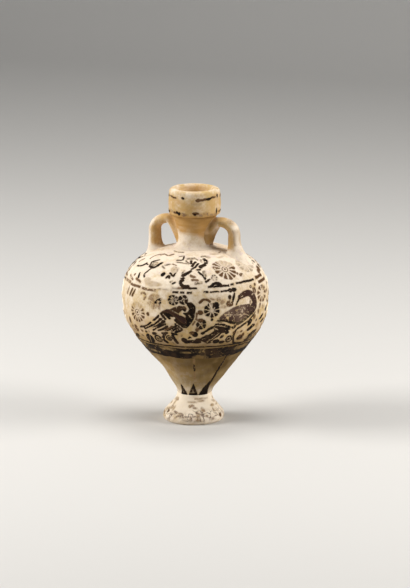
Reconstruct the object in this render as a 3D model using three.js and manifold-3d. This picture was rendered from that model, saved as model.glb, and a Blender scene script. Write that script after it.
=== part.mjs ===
// A Corinthian amphoriskos: a small two-handled oil jar with an ovoid body on a flaring foot,
// a short waisted neck, a collar mouth and two handles that spring from under the collar and
// land on the shoulder. It is pale fired clay, made as the potter made it: foot, body, neck and
// mouth are thrown on the wheel, and the two handles are rolled by hand and luted on.
// Millimetres, +Z up, origin on the table under the vessel's axis, handles along +X and -X.
import * as THREE from "three";
import { mergeVertices } from "three/addons/utils/BufferGeometryUtils.js";
import Module from "manifold-3d";

const wasm = await Module();
wasm.setup();

// Foot: a low trumpet, hollowed underneath, standing on a flat ring.
const footHeight = 15.2;
const footRadius = 17;
const footEdgeHeight = 2; // where the flare is widest
const footRingOuter = 15.6;
const footRingInner = 12.6;
const footHollowDepth = 4;
const stemRadius = 9.3; // the narrowest place, where foot and body are luted together
const footShoulderRadius = 10.3; // where the stem's curve runs out into the flare
const footShoulderDrop = 3.7;
const footFlareRadius = 15.2; // where the flare turns down to its edge
const footFlareDrop = 9.6;

// Body: a hollow cone below, a nearly upright belly and a broad rounded shoulder.
const stemRise = 4.1; // height of the curve that leads from the stem into the cone
const coneFootRadius = 11.1;
const coneTopRadius = 33.7;
const coneHeight = 29.6;
const bellyRadius = 40;
const bellySwell = 0.3; // how far the middle of the belly stands proud of its ends
const bellyRise = 17.4; // from the cone's top to the belly's foot
const bellyHeight = 8.7;
const shoulderRise = 17.6; // from the belly's top to the shoulder's turn
const shoulderTurnRadius = 28.5;
const shoulderTurnSlope = 0.6; // fall for each millimetre outwards, at the turn
const shoulderCrown = 5.4; // from the shoulder's turn to the neck's seat
const shoulderTopSlope = 0.21; // fall for each millimetre outwards, beside the neck
const bodyWall = 3.6;
const bodyFloor = 6; // solid clay above the stem, under the hollow
const hollowTipRadius = 3.2;
const grooveDepth = 0.45; // turned lines that border the painted frieze
const grooveWidth = 1;
const grooveBelowTurn = [9.6, 12.1]; // heights of the two upper lines, down from the turn

// Neck: waisted, with a straight bore.
const neckRootRadius = 12.2;
const neckWaistRadius = 9.6;
const neckWaistRise = 4.6;
const neckHeight = 18.1;
const neckTopRadius = 12.8;
const neckFlareStart = 9; // height at which the neck starts to open out
const boreRadius = 5.4;

// Mouth: a collar with a slightly swelling side and a funnel that leads into the bore.
const mouthHeight = 14.5;
const mouthFootRadius = 14.2;
const mouthRadius = 14.45;
const mouthTopRadius = 14.1;
const mouthRound = 2.2; // rounding of the rim's outer corner
const mouthUndercut = 0.5; // rise of the collar's underside from the neck outwards
const lipInnerRadius = 9.9;
const lipRound = 0.8;
const funnelDepth = 10.5;

// Handles: oval in section, thinner at the top and spreading into their roots.
const handleAxisRadius = 22.7; // from the vessel's axis to the middle of the upright limb
const handleDrop = 3.1; // from the collar's underside to the middle of the upper limb
const handleBend = 7.4; // radius of the bend between the limbs
const upperLimb = { thick: 4.3, wide: 9 };
const uprightLimb = { thick: 6.7, wide: 8.4 };
const handleRoot = { thick: 8.8, wide: 10.8 };
const handleTip = { thick: 12.5, wide: 12.5 };
const rootSpread = 5.5; // length over which the lower limb spreads into its root
const tipSpread = 6; // the same for the upper limb, which spreads downwards along the neck
const strapSquareness = 0.8; // 1 gives an oval section, less gives a flatter strap
const rootSink = 3; // how far a handle's line runs on inside the wall before it is cut
const lutingGap = 0.3; // room for the slip that joins a handle to the vessel

// Smoothness.
const turns = 56;
const outsideSteps = 5; // points on each curve of an outer profile
const insideSteps = 3; // points on each curve of a hollow
const handleSteps = 24;
const handleSides = 14;

const clay = new THREE.MeshStandardMaterial({ color: 0xe3cfa6, roughness: 0.85, metalness: 0 });
const paleClay = new THREE.MeshStandardMaterial({ color: 0xe8d9b8, roughness: 0.9, metalness: 0 });

// Heights of the joints, from the table up.
const footJoint = footHeight;
const coneTop = footJoint + stemRise + coneHeight;
const bellyFoot = coneTop + bellyRise;
const bellyTop = bellyFoot + bellyHeight;
const shoulderTurn = bellyTop + shoulderRise;
const neckSeat = shoulderTurn + shoulderCrown;
const collarSeat = neckSeat + neckHeight;
const rim = collarSeat + mouthHeight;

// Where the tangents of two profile stretches meet: one through (r1, z1) and one through (r2, z2),
// each falling by its slope for every millimetre outwards.
function tangentCorner(r1, z1, slope1, r2, z2, slope2) {
  const r = (z1 + slope1 * r1 - z2 - slope2 * r2) / (slope1 - slope2);
  return [r, z1 - slope1 * (r - r1)];
}

// The body's outside from the stem to the neck's seat.
function bodyOutside(steps) {
  const coneSlope = (coneTopRadius - coneFootRadius) / coneHeight;
  const coneReach = coneTop + (bellyRadius - coneTopRadius) / coneSlope;
  const turnReach = shoulderTurn - shoulderTurnSlope * (bellyRadius - shoulderTurnRadius);
  const crown = tangentCorner(
    shoulderTurnRadius, shoulderTurn, shoulderTurnSlope,
    neckRootRadius, neckSeat, shoulderTopSlope,
  );
  const path = new THREE.Path();
  path.moveTo(stemRadius, footJoint);
  path.quadraticCurveTo(stemRadius, footJoint + 0.4 * stemRise, coneFootRadius, footJoint + stemRise);
  path.lineTo(coneTopRadius, coneTop);
  path.quadraticCurveTo(bellyRadius, Math.min(coneReach, bellyFoot), bellyRadius, bellyFoot);
  path.quadraticCurveTo(bellyRadius + 2 * bellySwell, (bellyFoot + bellyTop) / 2, bellyRadius, bellyTop);
  path.quadraticCurveTo(bellyRadius, turnReach, shoulderTurnRadius, shoulderTurn);
  path.quadraticCurveTo(crown[0], crown[1], neckRootRadius, neckSeat);
  return path.getPoints(steps);
}

// The outline's radius at a height, and its height at a radius on the shoulder.
function radiusAt(outline, z) {
  for (let i = 1; i < outline.length; i++) {
    const [low, high] = [outline[i - 1], outline[i]];
    if (low.y <= z && z <= high.y) {
      return low.x + ((high.x - low.x) * (z - low.y)) / (high.y - low.y);
    }
  }
  return outline[outline.length - 1].x;
}

function shoulderHeightAt(outline, r) {
  for (let i = outline.length - 1; i > 0; i--) {
    const [outer, inner] = [outline[i - 1], outline[i]];
    if (inner.x <= r && r <= outer.x) {
      return inner.y + ((outer.y - inner.y) * (r - inner.x)) / (outer.x - inner.x);
    }
  }
  return bellyTop;
}

// Adds a shallow V-shaped groove to an outline at a height.
function withGroove(outline, z) {
  const half = grooveWidth / 2;
  const mouth = [z - half, z + half].map((h) => new THREE.Vector2(radiusAt(outline, h), h));
  const bottom = new THREE.Vector2(radiusAt(outline, z) - grooveDepth, z);
  const below = outline.filter((p) => p.y < z - half);
  const above = outline.filter((p) => p.y > z + half);
  return [...below, mouth[0], bottom, mouth[1], ...above];
}

// An outline moved sideways by a distance: outwards when positive, into the clay when negative.
function offset(outline, distance) {
  return outline.map((p, i) => {
    const before = outline[Math.max(i - 1, 0)];
    const after = outline[Math.min(i + 1, outline.length - 1)];
    const along = new THREE.Vector2().subVectors(after, before).normalize();
    return new THREE.Vector2(p.x + along.y * distance, p.y - along.x * distance);
  });
}

// A solid of revolution about +Z from a profile that ends on the axis or closes on itself.
function thrown(profile) {
  return new THREE.LatheGeometry(profile, turns).rotateX(Math.PI / 2);
}

function footOutline() {
  const path = new THREE.Path();
  path.moveTo(0, footHollowDepth);
  path.quadraticCurveTo(0.8 * footRingInner, footHollowDepth, footRingInner, 0);
  path.lineTo(footRingOuter, 0);
  path.quadraticCurveTo(footRadius, 0.2 * footEdgeHeight, footRadius, footEdgeHeight);
  const flareTop = footJoint - footFlareDrop;
  path.quadraticCurveTo(footRadius, 0.5 * (footEdgeHeight + flareTop), footFlareRadius, flareTop);
  path.lineTo(footShoulderRadius, footJoint - footShoulderDrop);
  path.quadraticCurveTo(stemRadius, footJoint - 0.4 * footShoulderDrop, stemRadius, footJoint);
  path.lineTo(0, footJoint);
  return path.getPoints(outsideSteps);
}

function bodyOutline() {
  const smooth = bodyOutside(outsideSteps);
  const grooved = grooveBelowTurn.reduce((line, drop) => withGroove(line, shoulderTurn - drop), smooth);
  const floor = footJoint + stemRise + bodyFloor;
  const inside = offset(bodyOutside(insideSteps), -bodyWall)
    .filter((p) => p.x > boreRadius + 0.5 * bodyWall && p.y > floor + bodyWall && p.y < neckSeat)
    .reverse();
  const ceiling = neckSeat - bodyWall;
  return [
    new THREE.Vector2(0, footJoint),
    ...grooved,
    new THREE.Vector2(boreRadius, neckSeat),
    new THREE.Vector2(boreRadius, ceiling),
    ...inside.filter((p) => p.y < ceiling),
    new THREE.Vector2(hollowTipRadius, floor + 0.3 * bodyWall),
    new THREE.Vector2(0, floor),
  ];
}

function neckOutside() {
  const path = new THREE.Path();
  const flare = neckSeat + neckFlareStart;
  path.moveTo(neckRootRadius, neckSeat);
  path.quadraticCurveTo(neckWaistRadius, neckSeat + 0.2 * neckWaistRise, neckWaistRadius, neckSeat + neckWaistRise);
  path.bezierCurveTo(
    neckWaistRadius, flare,
    neckWaistRadius + 0.3 * (neckTopRadius - neckWaistRadius), collarSeat - 0.25 * (collarSeat - flare),
    neckTopRadius, collarSeat,
  );
  return path.getPoints(outsideSteps);
}

function neckOutline() {
  return [
    new THREE.Vector2(boreRadius, neckSeat),
    ...neckOutside(),
    new THREE.Vector2(boreRadius, collarSeat),
    new THREE.Vector2(boreRadius, neckSeat),
  ];
}

function mouthOutside() {
  const path = new THREE.Path();
  path.moveTo(neckTopRadius, collarSeat);
  path.lineTo(mouthFootRadius, collarSeat + mouthUndercut);
  path.quadraticCurveTo(
    2 * mouthRadius - 0.5 * (mouthFootRadius + mouthTopRadius), 0.5 * (collarSeat + rim),
    mouthTopRadius, rim - mouthRound,
  );
  path.quadraticCurveTo(mouthTopRadius, rim, mouthTopRadius - mouthRound, rim);
  return path.getPoints(outsideSteps);
}

function mouthOutline() {
  const funnelFoot = rim - funnelDepth;
  const path = new THREE.Path();
  path.moveTo(lipInnerRadius + lipRound, rim);
  path.quadraticCurveTo(lipInnerRadius, rim, lipInnerRadius, rim - lipRound);
  path.quadraticCurveTo(0.9 * lipInnerRadius, funnelFoot + 0.25 * funnelDepth, boreRadius, funnelFoot);
  path.lineTo(boreRadius, collarSeat);
  return [...mouthOutside(), ...path.getPoints(insideSteps), new THREE.Vector2(neckTopRadius, collarSeat)];
}

// The line that a handle follows, as radius and height: out of the neck under the collar, round
// the bend, and down into the shoulder.
function handleLine() {
  const top = collarSeat - handleDrop;
  const bendRadius = handleAxisRadius - handleBend;
  const rootHeight = shoulderHeightAt(bodyOutside(outsideSteps), handleAxisRadius);
  const path = new THREE.Path();
  path.moveTo(neckWaistRadius - rootSink, top);
  path.lineTo(bendRadius, top);
  path.absarc(bendRadius, top - handleBend, handleBend, 0.5 * Math.PI, 0, true);
  path.lineTo(handleAxisRadius, rootHeight - rootSink);
  return path;
}

// A handle's section at a distance along its line: its thickness, its width, and how far it leans
// towards the inner side of the bend, so that the tip spreads down the neck.
function handleSection(distance, length) {
  const upright = THREE.MathUtils.smoothstep(distance, 0.35 * length, 0.65 * length);
  const tip = THREE.MathUtils.clamp(1 - (distance - rootSink) / tipSpread, 0, 1) ** 1.2;
  const root = Math.max(0, 1 - (length - rootSink - distance) / rootSpread) ** 2;
  const size = (key) => {
    const limb = THREE.MathUtils.lerp(upperLimb[key], uprightLimb[key], upright);
    return limb + tip * (handleTip[key] - limb) + root * (handleRoot[key] - limb);
  };
  const lean = 0.5 * tip * (upperLimb.thick - handleTip.thick);
  return { thick: size("thick"), wide: size("wide"), lean };
}

// A closed loft of flattened oval rings along a handle's line.
function handleLoft(side) {
  const line = handleLine();
  const length = line.getLength();
  const flatten = (value) => Math.sign(value) * Math.abs(value) ** strapSquareness;
  const rings = [];
  for (let i = 0; i <= handleSteps; i++) {
    const share = i / handleSteps;
    const centre = line.getPointAt(share);
    const along = line.getTangentAt(share);
    const { thick, wide, lean } = handleSection(share * length, length);
    const ring = [];
    for (let k = 0; k < handleSides; k++) {
      const angle = (2 * Math.PI * k) / handleSides;
      const across = 0.5 * wide * flatten(Math.cos(angle));
      const out = lean + 0.5 * thick * flatten(Math.sin(angle));
      const radius = centre.x - along.y * out;
      ring.push(new THREE.Vector3(side * radius, side * across, centre.y + along.x * out));
    }
    rings.push(ring);
  }
  return closedLoft(rings);
}

// Joins rings of equal length into one closed surface with flat fans at both ends.
function closedLoft(rings) {
  const count = rings[0].length;
  const positions = rings.flat().flatMap((p) => [p.x, p.y, p.z]);
  const faces = [];
  for (let i = 0; i + 1 < rings.length; i++) {
    for (let k = 0; k < count; k++) {
      const next = (k + 1) % count;
      const [a, b, c, d] = [i * count + k, i * count + next, (i + 1) * count + next, (i + 1) * count + k];
      faces.push(a, b, c, a, c, d);
    }
  }
  const last = (rings.length - 1) * count;
  for (let k = 1; k + 1 < count; k++) {
    faces.push(0, k + 1, k, last, last + k, last + k + 1);
  }
  const geometry = new THREE.BufferGeometry();
  geometry.setAttribute("position", new THREE.Float32BufferAttribute(positions, 3));
  geometry.setIndex(faces);
  return geometry;
}

function toManifold(geometry) {
  const bare = geometry.index ? geometry.toNonIndexed() : geometry.clone();
  bare.deleteAttribute("normal");
  bare.deleteAttribute("uv");
  const merged = mergeVertices(bare, 1e-3);
  return new wasm.Manifold(new wasm.Mesh({
    numProp: 3,
    vertProperties: merged.attributes.position.array,
    triVerts: new Uint32Array(merged.index.array),
  }));
}

function toGeometry(solid) {
  const mesh = solid.getMesh();
  const geometry = new THREE.BufferGeometry();
  geometry.setAttribute("position", new THREE.Float32BufferAttribute(mesh.vertProperties, 3));
  geometry.setIndex(new THREE.Uint32BufferAttribute(mesh.triVerts, 1));
  geometry.computeVertexNormals();
  return geometry;
}

// The space that the thrown pieces take up, filled to the axis, with room for the luting slip.
function vesselWithSlip() {
  const filled = (outside) => {
    const grown = offset(outside, lutingGap);
    const bottom = outside[0].y - lutingGap;
    const top = outside[outside.length - 1].y + lutingGap;
    return toManifold(thrown([
      new THREE.Vector2(0, bottom),
      new THREE.Vector2(grown[0].x, bottom),
      ...grown.filter((p) => p.y > bottom && p.y < top),
      new THREE.Vector2(grown[grown.length - 1].x, top),
      new THREE.Vector2(0, top),
    ]));
  };
  return filled(bodyOutside(outsideSteps)).add(filled(neckOutside())).add(filled(mouthOutside()));
}

function handleGeometry(side, vessel) {
  return toGeometry(toManifold(handleLoft(side)).subtract(vessel));
}

function piece(name, geometry, material) {
  const mesh = new THREE.Mesh(geometry, material);
  mesh.name = name;
  return mesh;
}

const vessel = vesselWithSlip();
const amphoriskos = new THREE.Group();
amphoriskos.add(
  piece("foot", thrown(footOutline()), paleClay),
  piece("body", thrown(bodyOutline()), clay),
  piece("neck", thrown(neckOutline()), clay),
  piece("mouth", thrown(mouthOutline()), clay),
  piece("handle_left", handleGeometry(-1, vessel), clay),
  piece("handle_right", handleGeometry(1, vessel), clay),
);

export default amphoriskos;
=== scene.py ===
"""A Corinthian amphoriskos in Blender: the thrown pieces as fine turned clay, the luted handles,
and the worn black-figure decoration drawn on them as paint with a slight thickness."""
import math

import bmesh
import bpy
import numpy as np
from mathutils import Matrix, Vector


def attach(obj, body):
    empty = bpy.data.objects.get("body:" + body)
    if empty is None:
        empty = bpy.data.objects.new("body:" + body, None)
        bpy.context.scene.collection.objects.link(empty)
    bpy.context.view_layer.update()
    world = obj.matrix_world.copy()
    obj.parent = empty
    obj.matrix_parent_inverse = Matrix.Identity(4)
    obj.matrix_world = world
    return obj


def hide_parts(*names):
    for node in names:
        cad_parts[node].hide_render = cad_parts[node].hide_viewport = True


MM = 0.001

# The photograph's view: the right handle is turned towards the camera.
VIEW_AZIMUTH = 20.0
VIEW_ELEVATION = 13.0
VIEW_DISTANCE = 2.0  # m
VIEW_LENS = 221.6  # mm on a 36 mm sensor
VIEW_AIM_RIGHT = 5.75 * MM  # the vessel stands left of the picture's centre
VIEW_AIM_UP = 5.6 * MM
VIEW_AIM_HEIGHT = 65 * MM

# Fineness of the visible surfaces.
AROUND = 640  # columns round the vessel
OUTSIDE_STEP = 0.36  # mm between rows of the painted side
INSIDE_STEP = 2.0  # mm between rows inside


# Noise

def lattice_noise(points, size, seed):
    """Smooth noise from -1 to 1 at points in mm, with lumps of the given size in mm."""
    table = np.random.default_rng(seed).uniform(-1, 1, (32, 32, 32))
    place = points / size
    cell = np.floor(place).astype(int)
    share = place - cell
    share = share * share * (3 - 2 * share)
    total = np.zeros(len(points))
    for corner in range(8):
        step = np.array([corner & 1, corner >> 1 & 1, corner >> 2 & 1])
        weight = np.prod(np.where(step, share, 1 - share), axis=1)
        x, y, z = ((cell + step) % 32).T
        total += weight * table[x, y, z]
    return total


# Profiles of the thrown pieces, read from the frame

def thrown_profile(node):
    """The outer and the inner profile of a turned node as (radius, height) rows in mm.

    Faces that look away from the axis are outside, and faces that look towards it are inside."""
    mesh = node.data
    outside = set()
    inside = set()
    for face in mesh.polygons:
        flat = Vector((face.center.x, face.center.y))
        if flat.length < 1e-6:
            continue
        outward = (face.normal.x * flat.x + face.normal.y * flat.y) / flat.length
        kept = outside if outward > 0.05 else inside if outward < -0.05 else None
        if kept is None:
            continue
        for index in face.vertices:
            point = mesh.vertices[index].co
            kept.add((round(math.hypot(point.x, point.y) / MM, 2), round(point.z / MM, 2)))
    rise = sorted(outside, key=lambda p: (p[1], -p[0]))
    fall = sorted(inside, key=lambda p: (-p[1], p[0]))
    return np.array(rise), np.array(fall)


def resample(profile, step):
    """Evenly spaced points along a profile."""
    lengths = np.r_[0, np.cumsum(np.hypot(*np.diff(profile, axis=0).T))]
    count = max(int(round(lengths[-1] / step)), 2)
    places = np.linspace(0, lengths[-1], count + 1)
    return np.column_stack([np.interp(places, lengths, profile[:, k]) for k in (0, 1)])


def soften(profile, step, reach):
    """A profile with its facets rounded off and both ends kept where they are."""
    half = int(math.ceil(3 * reach / step))
    weights = np.exp(-0.5 * (np.arange(-half, half + 1) * step / reach) ** 2)
    weights /= weights.sum()
    before = 2 * profile[0] - profile[half:0:-1]
    after = 2 * profile[-1] - profile[-2:-half - 2:-1]
    long = np.vstack([before, profile, after])
    return np.column_stack([np.convolve(long[:, k], weights, "valid") for k in (0, 1)])


# Meshes

def add_object(name, data):
    added = bpy.data.objects.new(name, data)
    bpy.context.scene.collection.objects.link(added)
    return added


def ring_quads(rows, columns, closed=False):
    """Quads between rows of points that run round. Closed, the last row also meets the first."""
    row = np.arange(rows if closed else rows - 1)[:, None]
    above = (row + 1) % rows
    column = np.arange(columns)[None, :]
    after = (column + 1) % columns
    corners = [(row, column), (row, after), (above, after), (above, column)]
    return np.stack([level * columns + place for level, place in corners], -1).reshape(-1, 4)


def turned_piece(name, outer, inner, shape):
    """A closed turned mesh from an outer profile going up and an inner one coming down.

    shape(points) returns how far each point stands proud of the profile, in mm."""
    loop = np.vstack([outer, inner])
    angles = np.arange(AROUND) * 2 * math.pi / AROUND
    rows = len(loop)
    radius = np.repeat(loop[:, 0], AROUND)
    height = np.repeat(loop[:, 1], AROUND)
    angle = np.tile(angles, rows)
    points = np.column_stack([radius * np.sin(angle), -radius * np.cos(angle), height])
    tangent = np.gradient(loop, axis=0)
    tangent /= np.maximum(np.hypot(*tangent.T), 1e-9)[:, None]
    out_r = np.repeat(tangent[:, 1], AROUND)
    out_z = np.repeat(-tangent[:, 0], AROUND)
    proud = shape(points)
    points[:, 0] += proud * out_r * np.sin(angle)
    points[:, 1] -= proud * out_r * np.cos(angle)
    points[:, 2] += proud * out_z
    mesh = bpy.data.meshes.new(name)
    closed = loop[0, 0] > 1 and loop[-1, 0] > 1
    mesh.from_pydata((points * MM).tolist(), [], ring_quads(rows, AROUND, closed).tolist())
    if not closed:
        cap_ends(mesh, rows)
    mesh.polygons.foreach_set("use_smooth", np.ones(len(mesh.polygons), bool))
    mesh.update()
    return add_object(name, mesh), points


def cap_ends(mesh, rows):
    """Closes a profile's two ends on the axis with small discs."""
    work = bmesh.new()
    work.from_mesh(mesh)
    work.verts.ensure_lookup_table()
    for start in (0, (rows - 1) * AROUND):
        ring = [work.verts[start + k] for k in range(AROUND)]
        edges = [e for e in work.edges if e.is_boundary and e.verts[0] in ring and e.verts[1] in ring]
        bmesh.ops.contextual_create(work, geom=edges)
    bmesh.ops.recalc_face_normals(work, faces=work.faces)
    work.to_mesh(mesh)
    work.free()


# Stage

def make_camera():
    a = math.radians(VIEW_AZIMUTH)
    e = math.radians(VIEW_ELEVATION)
    back = Vector((math.sin(a) * math.cos(e), -math.cos(a) * math.cos(e), math.sin(e)))
    right = Vector((math.cos(a), math.sin(a), 0))
    up = back.cross(right)
    data = bpy.data.cameras.new("camera")
    data.lens = VIEW_LENS
    data.clip_end = 20
    camera = add_object("camera", data)
    aim = Vector((0, 0, VIEW_AIM_HEIGHT)) + right * VIEW_AIM_RIGHT + up * VIEW_AIM_UP
    camera.location = aim + back * VIEW_DISTANCE
    camera.rotation_euler = (-back).to_track_quat("-Z", "Y").to_euler()
    bpy.context.scene.camera = camera


def area_light(name, place, aim, size, watts, colour):
    data = bpy.data.lights.new(name, "AREA")
    data.size = size
    data.energy = watts
    data.color = colour
    light = add_object(name, data)
    light.location = place
    light.rotation_euler = (Vector(aim) - Vector(place)).to_track_quat("-Z", "Y").to_euler()


def plain_material(name, colour, roughness):
    material = bpy.data.materials.new(name)
    material.use_nodes = True
    shader = material.node_tree.nodes["Principled BSDF"]
    shader.inputs["Base Color"].default_value = (*colour, 1)
    shader.inputs["Roughness"].default_value = roughness
    return material


def make_stage():
    """A plain pale floor that curves up into a backdrop, under soft light from both sides."""
    half, front, depth, bend, height = 2.5, 3.0, 1.6, 0.5, 2.2  # m
    steps = 12
    curve = [(-front, 0.0), (depth - bend, 0.0)]
    for k in range(1, steps + 1):
        turn = 0.5 * math.pi * k / steps
        curve.append((depth - bend + bend * math.sin(turn), bend - bend * math.cos(turn)))
    curve.append((depth, height))
    floor_points = [(x, y, z) for y, z in curve for x in (-half, half)]
    faces = [(2 * k, 2 * k + 1, 2 * k + 3, 2 * k + 2) for k in range(len(curve) - 1)]
    mesh = bpy.data.meshes.new("floor")
    mesh.from_pydata(floor_points, [], faces)
    mesh.polygons.foreach_set("use_smooth", np.ones(len(faces), bool))
    floor = add_object("floor", mesh)
    mesh.materials.append(plain_material("floor_paper", (0.66, 0.65, 0.63), 0.9))
    area_light("left", (-0.82, -0.36, 0.60), (0, 0, 0.07), 0.45, 9.5, (1.0, 0.98, 0.95))
    area_light("right", (0.82, 0.14, 0.48), (0, 0, 0.07), 0.42, 6.4, (1.0, 0.97, 0.93))
    area_light("top", (0.0, 0.10, 1.0), (0, 0, 0.08), 0.5, 4.6, (1.0, 0.98, 0.95))
    world = bpy.data.worlds.new("studio")
    world.use_nodes = True
    world.node_tree.nodes["Background"].inputs["Color"].default_value = (0.95, 0.97, 1.0, 1)
    world.node_tree.nodes["Background"].inputs["Strength"].default_value = 0.16
    bpy.context.scene.world = world
    bpy.context.scene.view_settings.view_transform = "Standard"


# Decoration, drawn in mm on a turned surface: x runs round the vessel towards the right handle,
# and y runs up along its side.

FAR = -9.0  # mm: how far outside all paint an untouched place counts
EVERYWHERE = slice(None)
WAVER = 0.28  # mm by which the painter's hand wavered
WAVER_LENGTH = 2.6  # mm
BRUSH_SPREAD = 0.16  # mm by which the brush spread beyond its drawn line


def smooth_line(points, cuts=4):
    """A hand-drawn line through points, rounded between them."""
    points = np.asarray(points, float)
    if len(points) < 3:
        return points
    padded = np.vstack([2 * points[0] - points[1], points, 2 * points[-1] - points[-2]])
    share = np.arange(cuts)[:, None] / cuts
    line = []
    for a, b, c, d in zip(padded, padded[1:], padded[2:], padded[3:]):
        bend = (2 * a - 5 * b + 4 * c - d) * share ** 2 + (3 * b - a - 3 * c + d) * share ** 3
        line.append(0.5 * (2 * b + (c - a) * share + bend))
    return np.vstack(line + [points[-1:]])


def from_segment(x, y, start, end):
    """How far along a segment each place lies, from 0 to 1, and how far off it."""
    (ax, ay), (bx, by) = start, end
    length2 = max((bx - ax) ** 2 + (by - ay) ** 2, 1e-9)
    share = np.clip(((x - ax) * (bx - ax) + (y - ay) * (by - ay)) / length2, 0, 1)
    return share, np.hypot(x - ax - share * (bx - ax), y - ay - share * (by - ay))


def stroke(x, y, points, start_width, end_width=None):
    """Distance inside a brush stroke, positive within its width."""
    line = smooth_line(points)
    end_width = start_width if end_width is None else end_width
    half = np.linspace(start_width, end_width, len(line)) / 2
    best = np.full(x.shape, FAR)
    for start, end, h0, h1 in zip(line, line[1:], half, half[1:]):
        share, gap = from_segment(x, y, start, end)
        best = np.maximum(best, h0 + share * (h1 - h0) - gap)
    return best


def blob(x, y, points):
    """Distance inside a closed, rounded outline."""
    outline = smooth_line(list(points) + [points[0]], 3)
    gap = np.full(x.shape, -FAR)
    inside = np.zeros(x.shape, bool)
    for (ax, ay), (bx, by) in zip(outline, outline[1:]):
        gap = np.minimum(gap, from_segment(x, y, (ax, ay), (bx, by))[1])
        crosses = (ay > y) != (by > y)
        rise = by - ay if abs(by - ay) > 1e-9 else 1e-9
        inside ^= crosses & (x < (bx - ax) * (y - ay) / rise + ax)
    return np.where(inside, gap, -gap)


def oval(x, y, wide, high, tilt=0.0):
    """Distance inside an oval of the given half sizes, turned by tilt degrees."""
    t = math.radians(tilt)
    u = (x * math.cos(t) + y * math.sin(t)) / wide
    v = (y * math.cos(t) - x * math.sin(t)) / high
    return (1 - np.hypot(u, v)) * min(wide, high)


class Decoration:
    """The paint on the side of one turned piece: how deep each place lies inside painted shapes
    (slip), which pigment it has (tone), how much of it has flaked away (fade) and how thick a
    chalky crust lies on it (crust); along the belly's two contours this pale layer is partly a painted
    highlight."""

    def __init__(self, outer):
        self.radius, self.height = outer.T
        self.run = np.r_[0, np.cumsum(np.hypot(*np.diff(outer, axis=0).T))]
        self.azimuth = np.arange(AROUND) * 360 / AROUND
        shape = (len(outer), AROUND)
        self.slip = np.full(shape, FAR)
        self.tone = np.zeros(shape)
        self.fade = np.zeros(shape)
        self.crust_and_highlight = np.zeros(shape)
        angle = np.radians(self.azimuth)[None, :]
        wide = self.radius[:, None]
        place = np.stack([wide * np.sin(angle), -wide * np.cos(angle), self.height[:, None] + 0 * angle],
            -1)
        self.place = place.reshape(-1, 3)
        self.waver_x = WAVER * self.noise(WAVER_LENGTH, 11)
        self.waver_y = WAVER * self.noise(WAVER_LENGTH, 12)

    def noise(self, size, seed):
        return lattice_noise(self.place, size, seed).reshape(self.slip.shape)

    def window(self, azimuth, height, reach):
        """The grid places near an anchor, with their x and y from it."""
        start = np.interp(height, self.height, self.run)
        rows = np.flatnonzero(np.abs(self.run - start) < reach)
        turn = np.radians((self.azimuth - azimuth + 180) % 360 - 180)
        columns = np.flatnonzero(np.abs(turn) * self.radius[rows].min() < reach)
        grid = np.ix_(rows, columns)
        x = turn[columns][None, :] * self.radius[rows][:, None] + self.waver_x[grid]
        y = (self.run[rows] - start)[:, None] + self.waver_y[grid]
        return grid, x, y

    def paint(self, grid, inside, tone=0.0, fade=0.1):
        inside = inside + BRUSH_SPREAD
        over = inside > self.slip[grid]
        near = over & (inside > -0.5)
        self.slip[grid] = np.where(over, inside, self.slip[grid])
        self.tone[grid] = np.where(near, tone, self.tone[grid])
        self.fade[grid] = np.where(near, fade, self.fade[grid])

    def scratch(self, grid, inside):
        """Takes paint away, as an incised line does."""
        self.slip[grid] = np.minimum(self.slip[grid], -inside)

    def overpaint(self, grid, inside, tone):
        """Changes the pigment of what is painted there already."""
        self.tone[grid] = np.where(inside > 0, tone, self.tone[grid])

    def rub(self, azimuth, height, wide, high, share):
        """Wears the paint thin over an oval patch."""
        grid, x, y = self.window(azimuth, height, max(wide, high) + 3)
        worn = share * np.clip(0.6 + 0.5 * oval(x, y, wide, high), 0, 1)
        self.fade[grid] = np.maximum(self.fade[grid], worn)

    def whiten(self, azimuth, height, wide, high, share, size, seed):
        """Leaves a chalky crust in ragged patches over an oval, between the painted forms."""
        grid, x, y = self.window(azimuth, height, max(wide, high) + 3)
        cover = share * np.clip(0.5 + oval(x, y, wide, high) + 1.8 * self.noise(size, seed)[grid], 0, 1)
        cover = cover * np.clip(0.4 - 1.5 * self.slip[grid], 0, 1)
        self.crust_and_highlight[grid] = np.maximum(self.crust_and_highlight[grid], cover)

    def incise(self, azimuth, height, points, width=0.5):
        """One incised line near an anchor."""
        grid, x, y = self.window(azimuth, height, 8)
        self.scratch(grid, stroke(x, y, points, width))

    def strokes(self, azimuth, height, reach, lines, tone=0.0, fade=0.1):
        """Paints brush strokes, each given as (width, points) or (width, end width, points)."""
        grid, x, y = self.window(azimuth, height, reach)
        for line in lines:
            width, end_width, points = line if len(line) == 3 else (line[0], line[0], line[1])
            self.paint(grid, stroke(x, y, points, width, end_width), tone, fade)

    def line(self, first, last, height, width, tone=0.0, fade=0.3):
        """A turned line that is kept from the first azimuth to the last."""
        level = np.interp(height, self.height, self.run)
        rows = np.flatnonzero(np.abs(self.run - level) < width + 1)
        middle = 0.5 * (first + last)
        turn = (self.azimuth - middle + 180) % 360 - 180
        columns = np.flatnonzero(np.abs(turn) <= 0.5 * (last - first) + 2)
        grid = np.ix_(rows, columns)
        reach = np.radians(0.5 * (last - first) - np.abs(turn[columns]))[None, :] * self.radius[rows][:,
            None]
        across = width / 2 - np.abs(self.run[rows][:, None] - level + 0.7 * self.waver_y[grid])
        self.paint(grid, np.minimum(across, reach + self.waver_x[grid]), tone, fade)

    def dashes(self, first, last, height, width, tone=0.0, fade=0.3, seed=1):
        """A turned line worn into dashes."""
        draw = np.random.default_rng(seed)
        azimuth = first
        while azimuth < last:
            length = draw.uniform(1.2, 6.0)
            end = min(azimuth + length, last)
            self.line(azimuth, end, height, width * draw.uniform(0.6, 1.15), tone, fade)
            azimuth = end + draw.uniform(0.6, 2.8)


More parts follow.
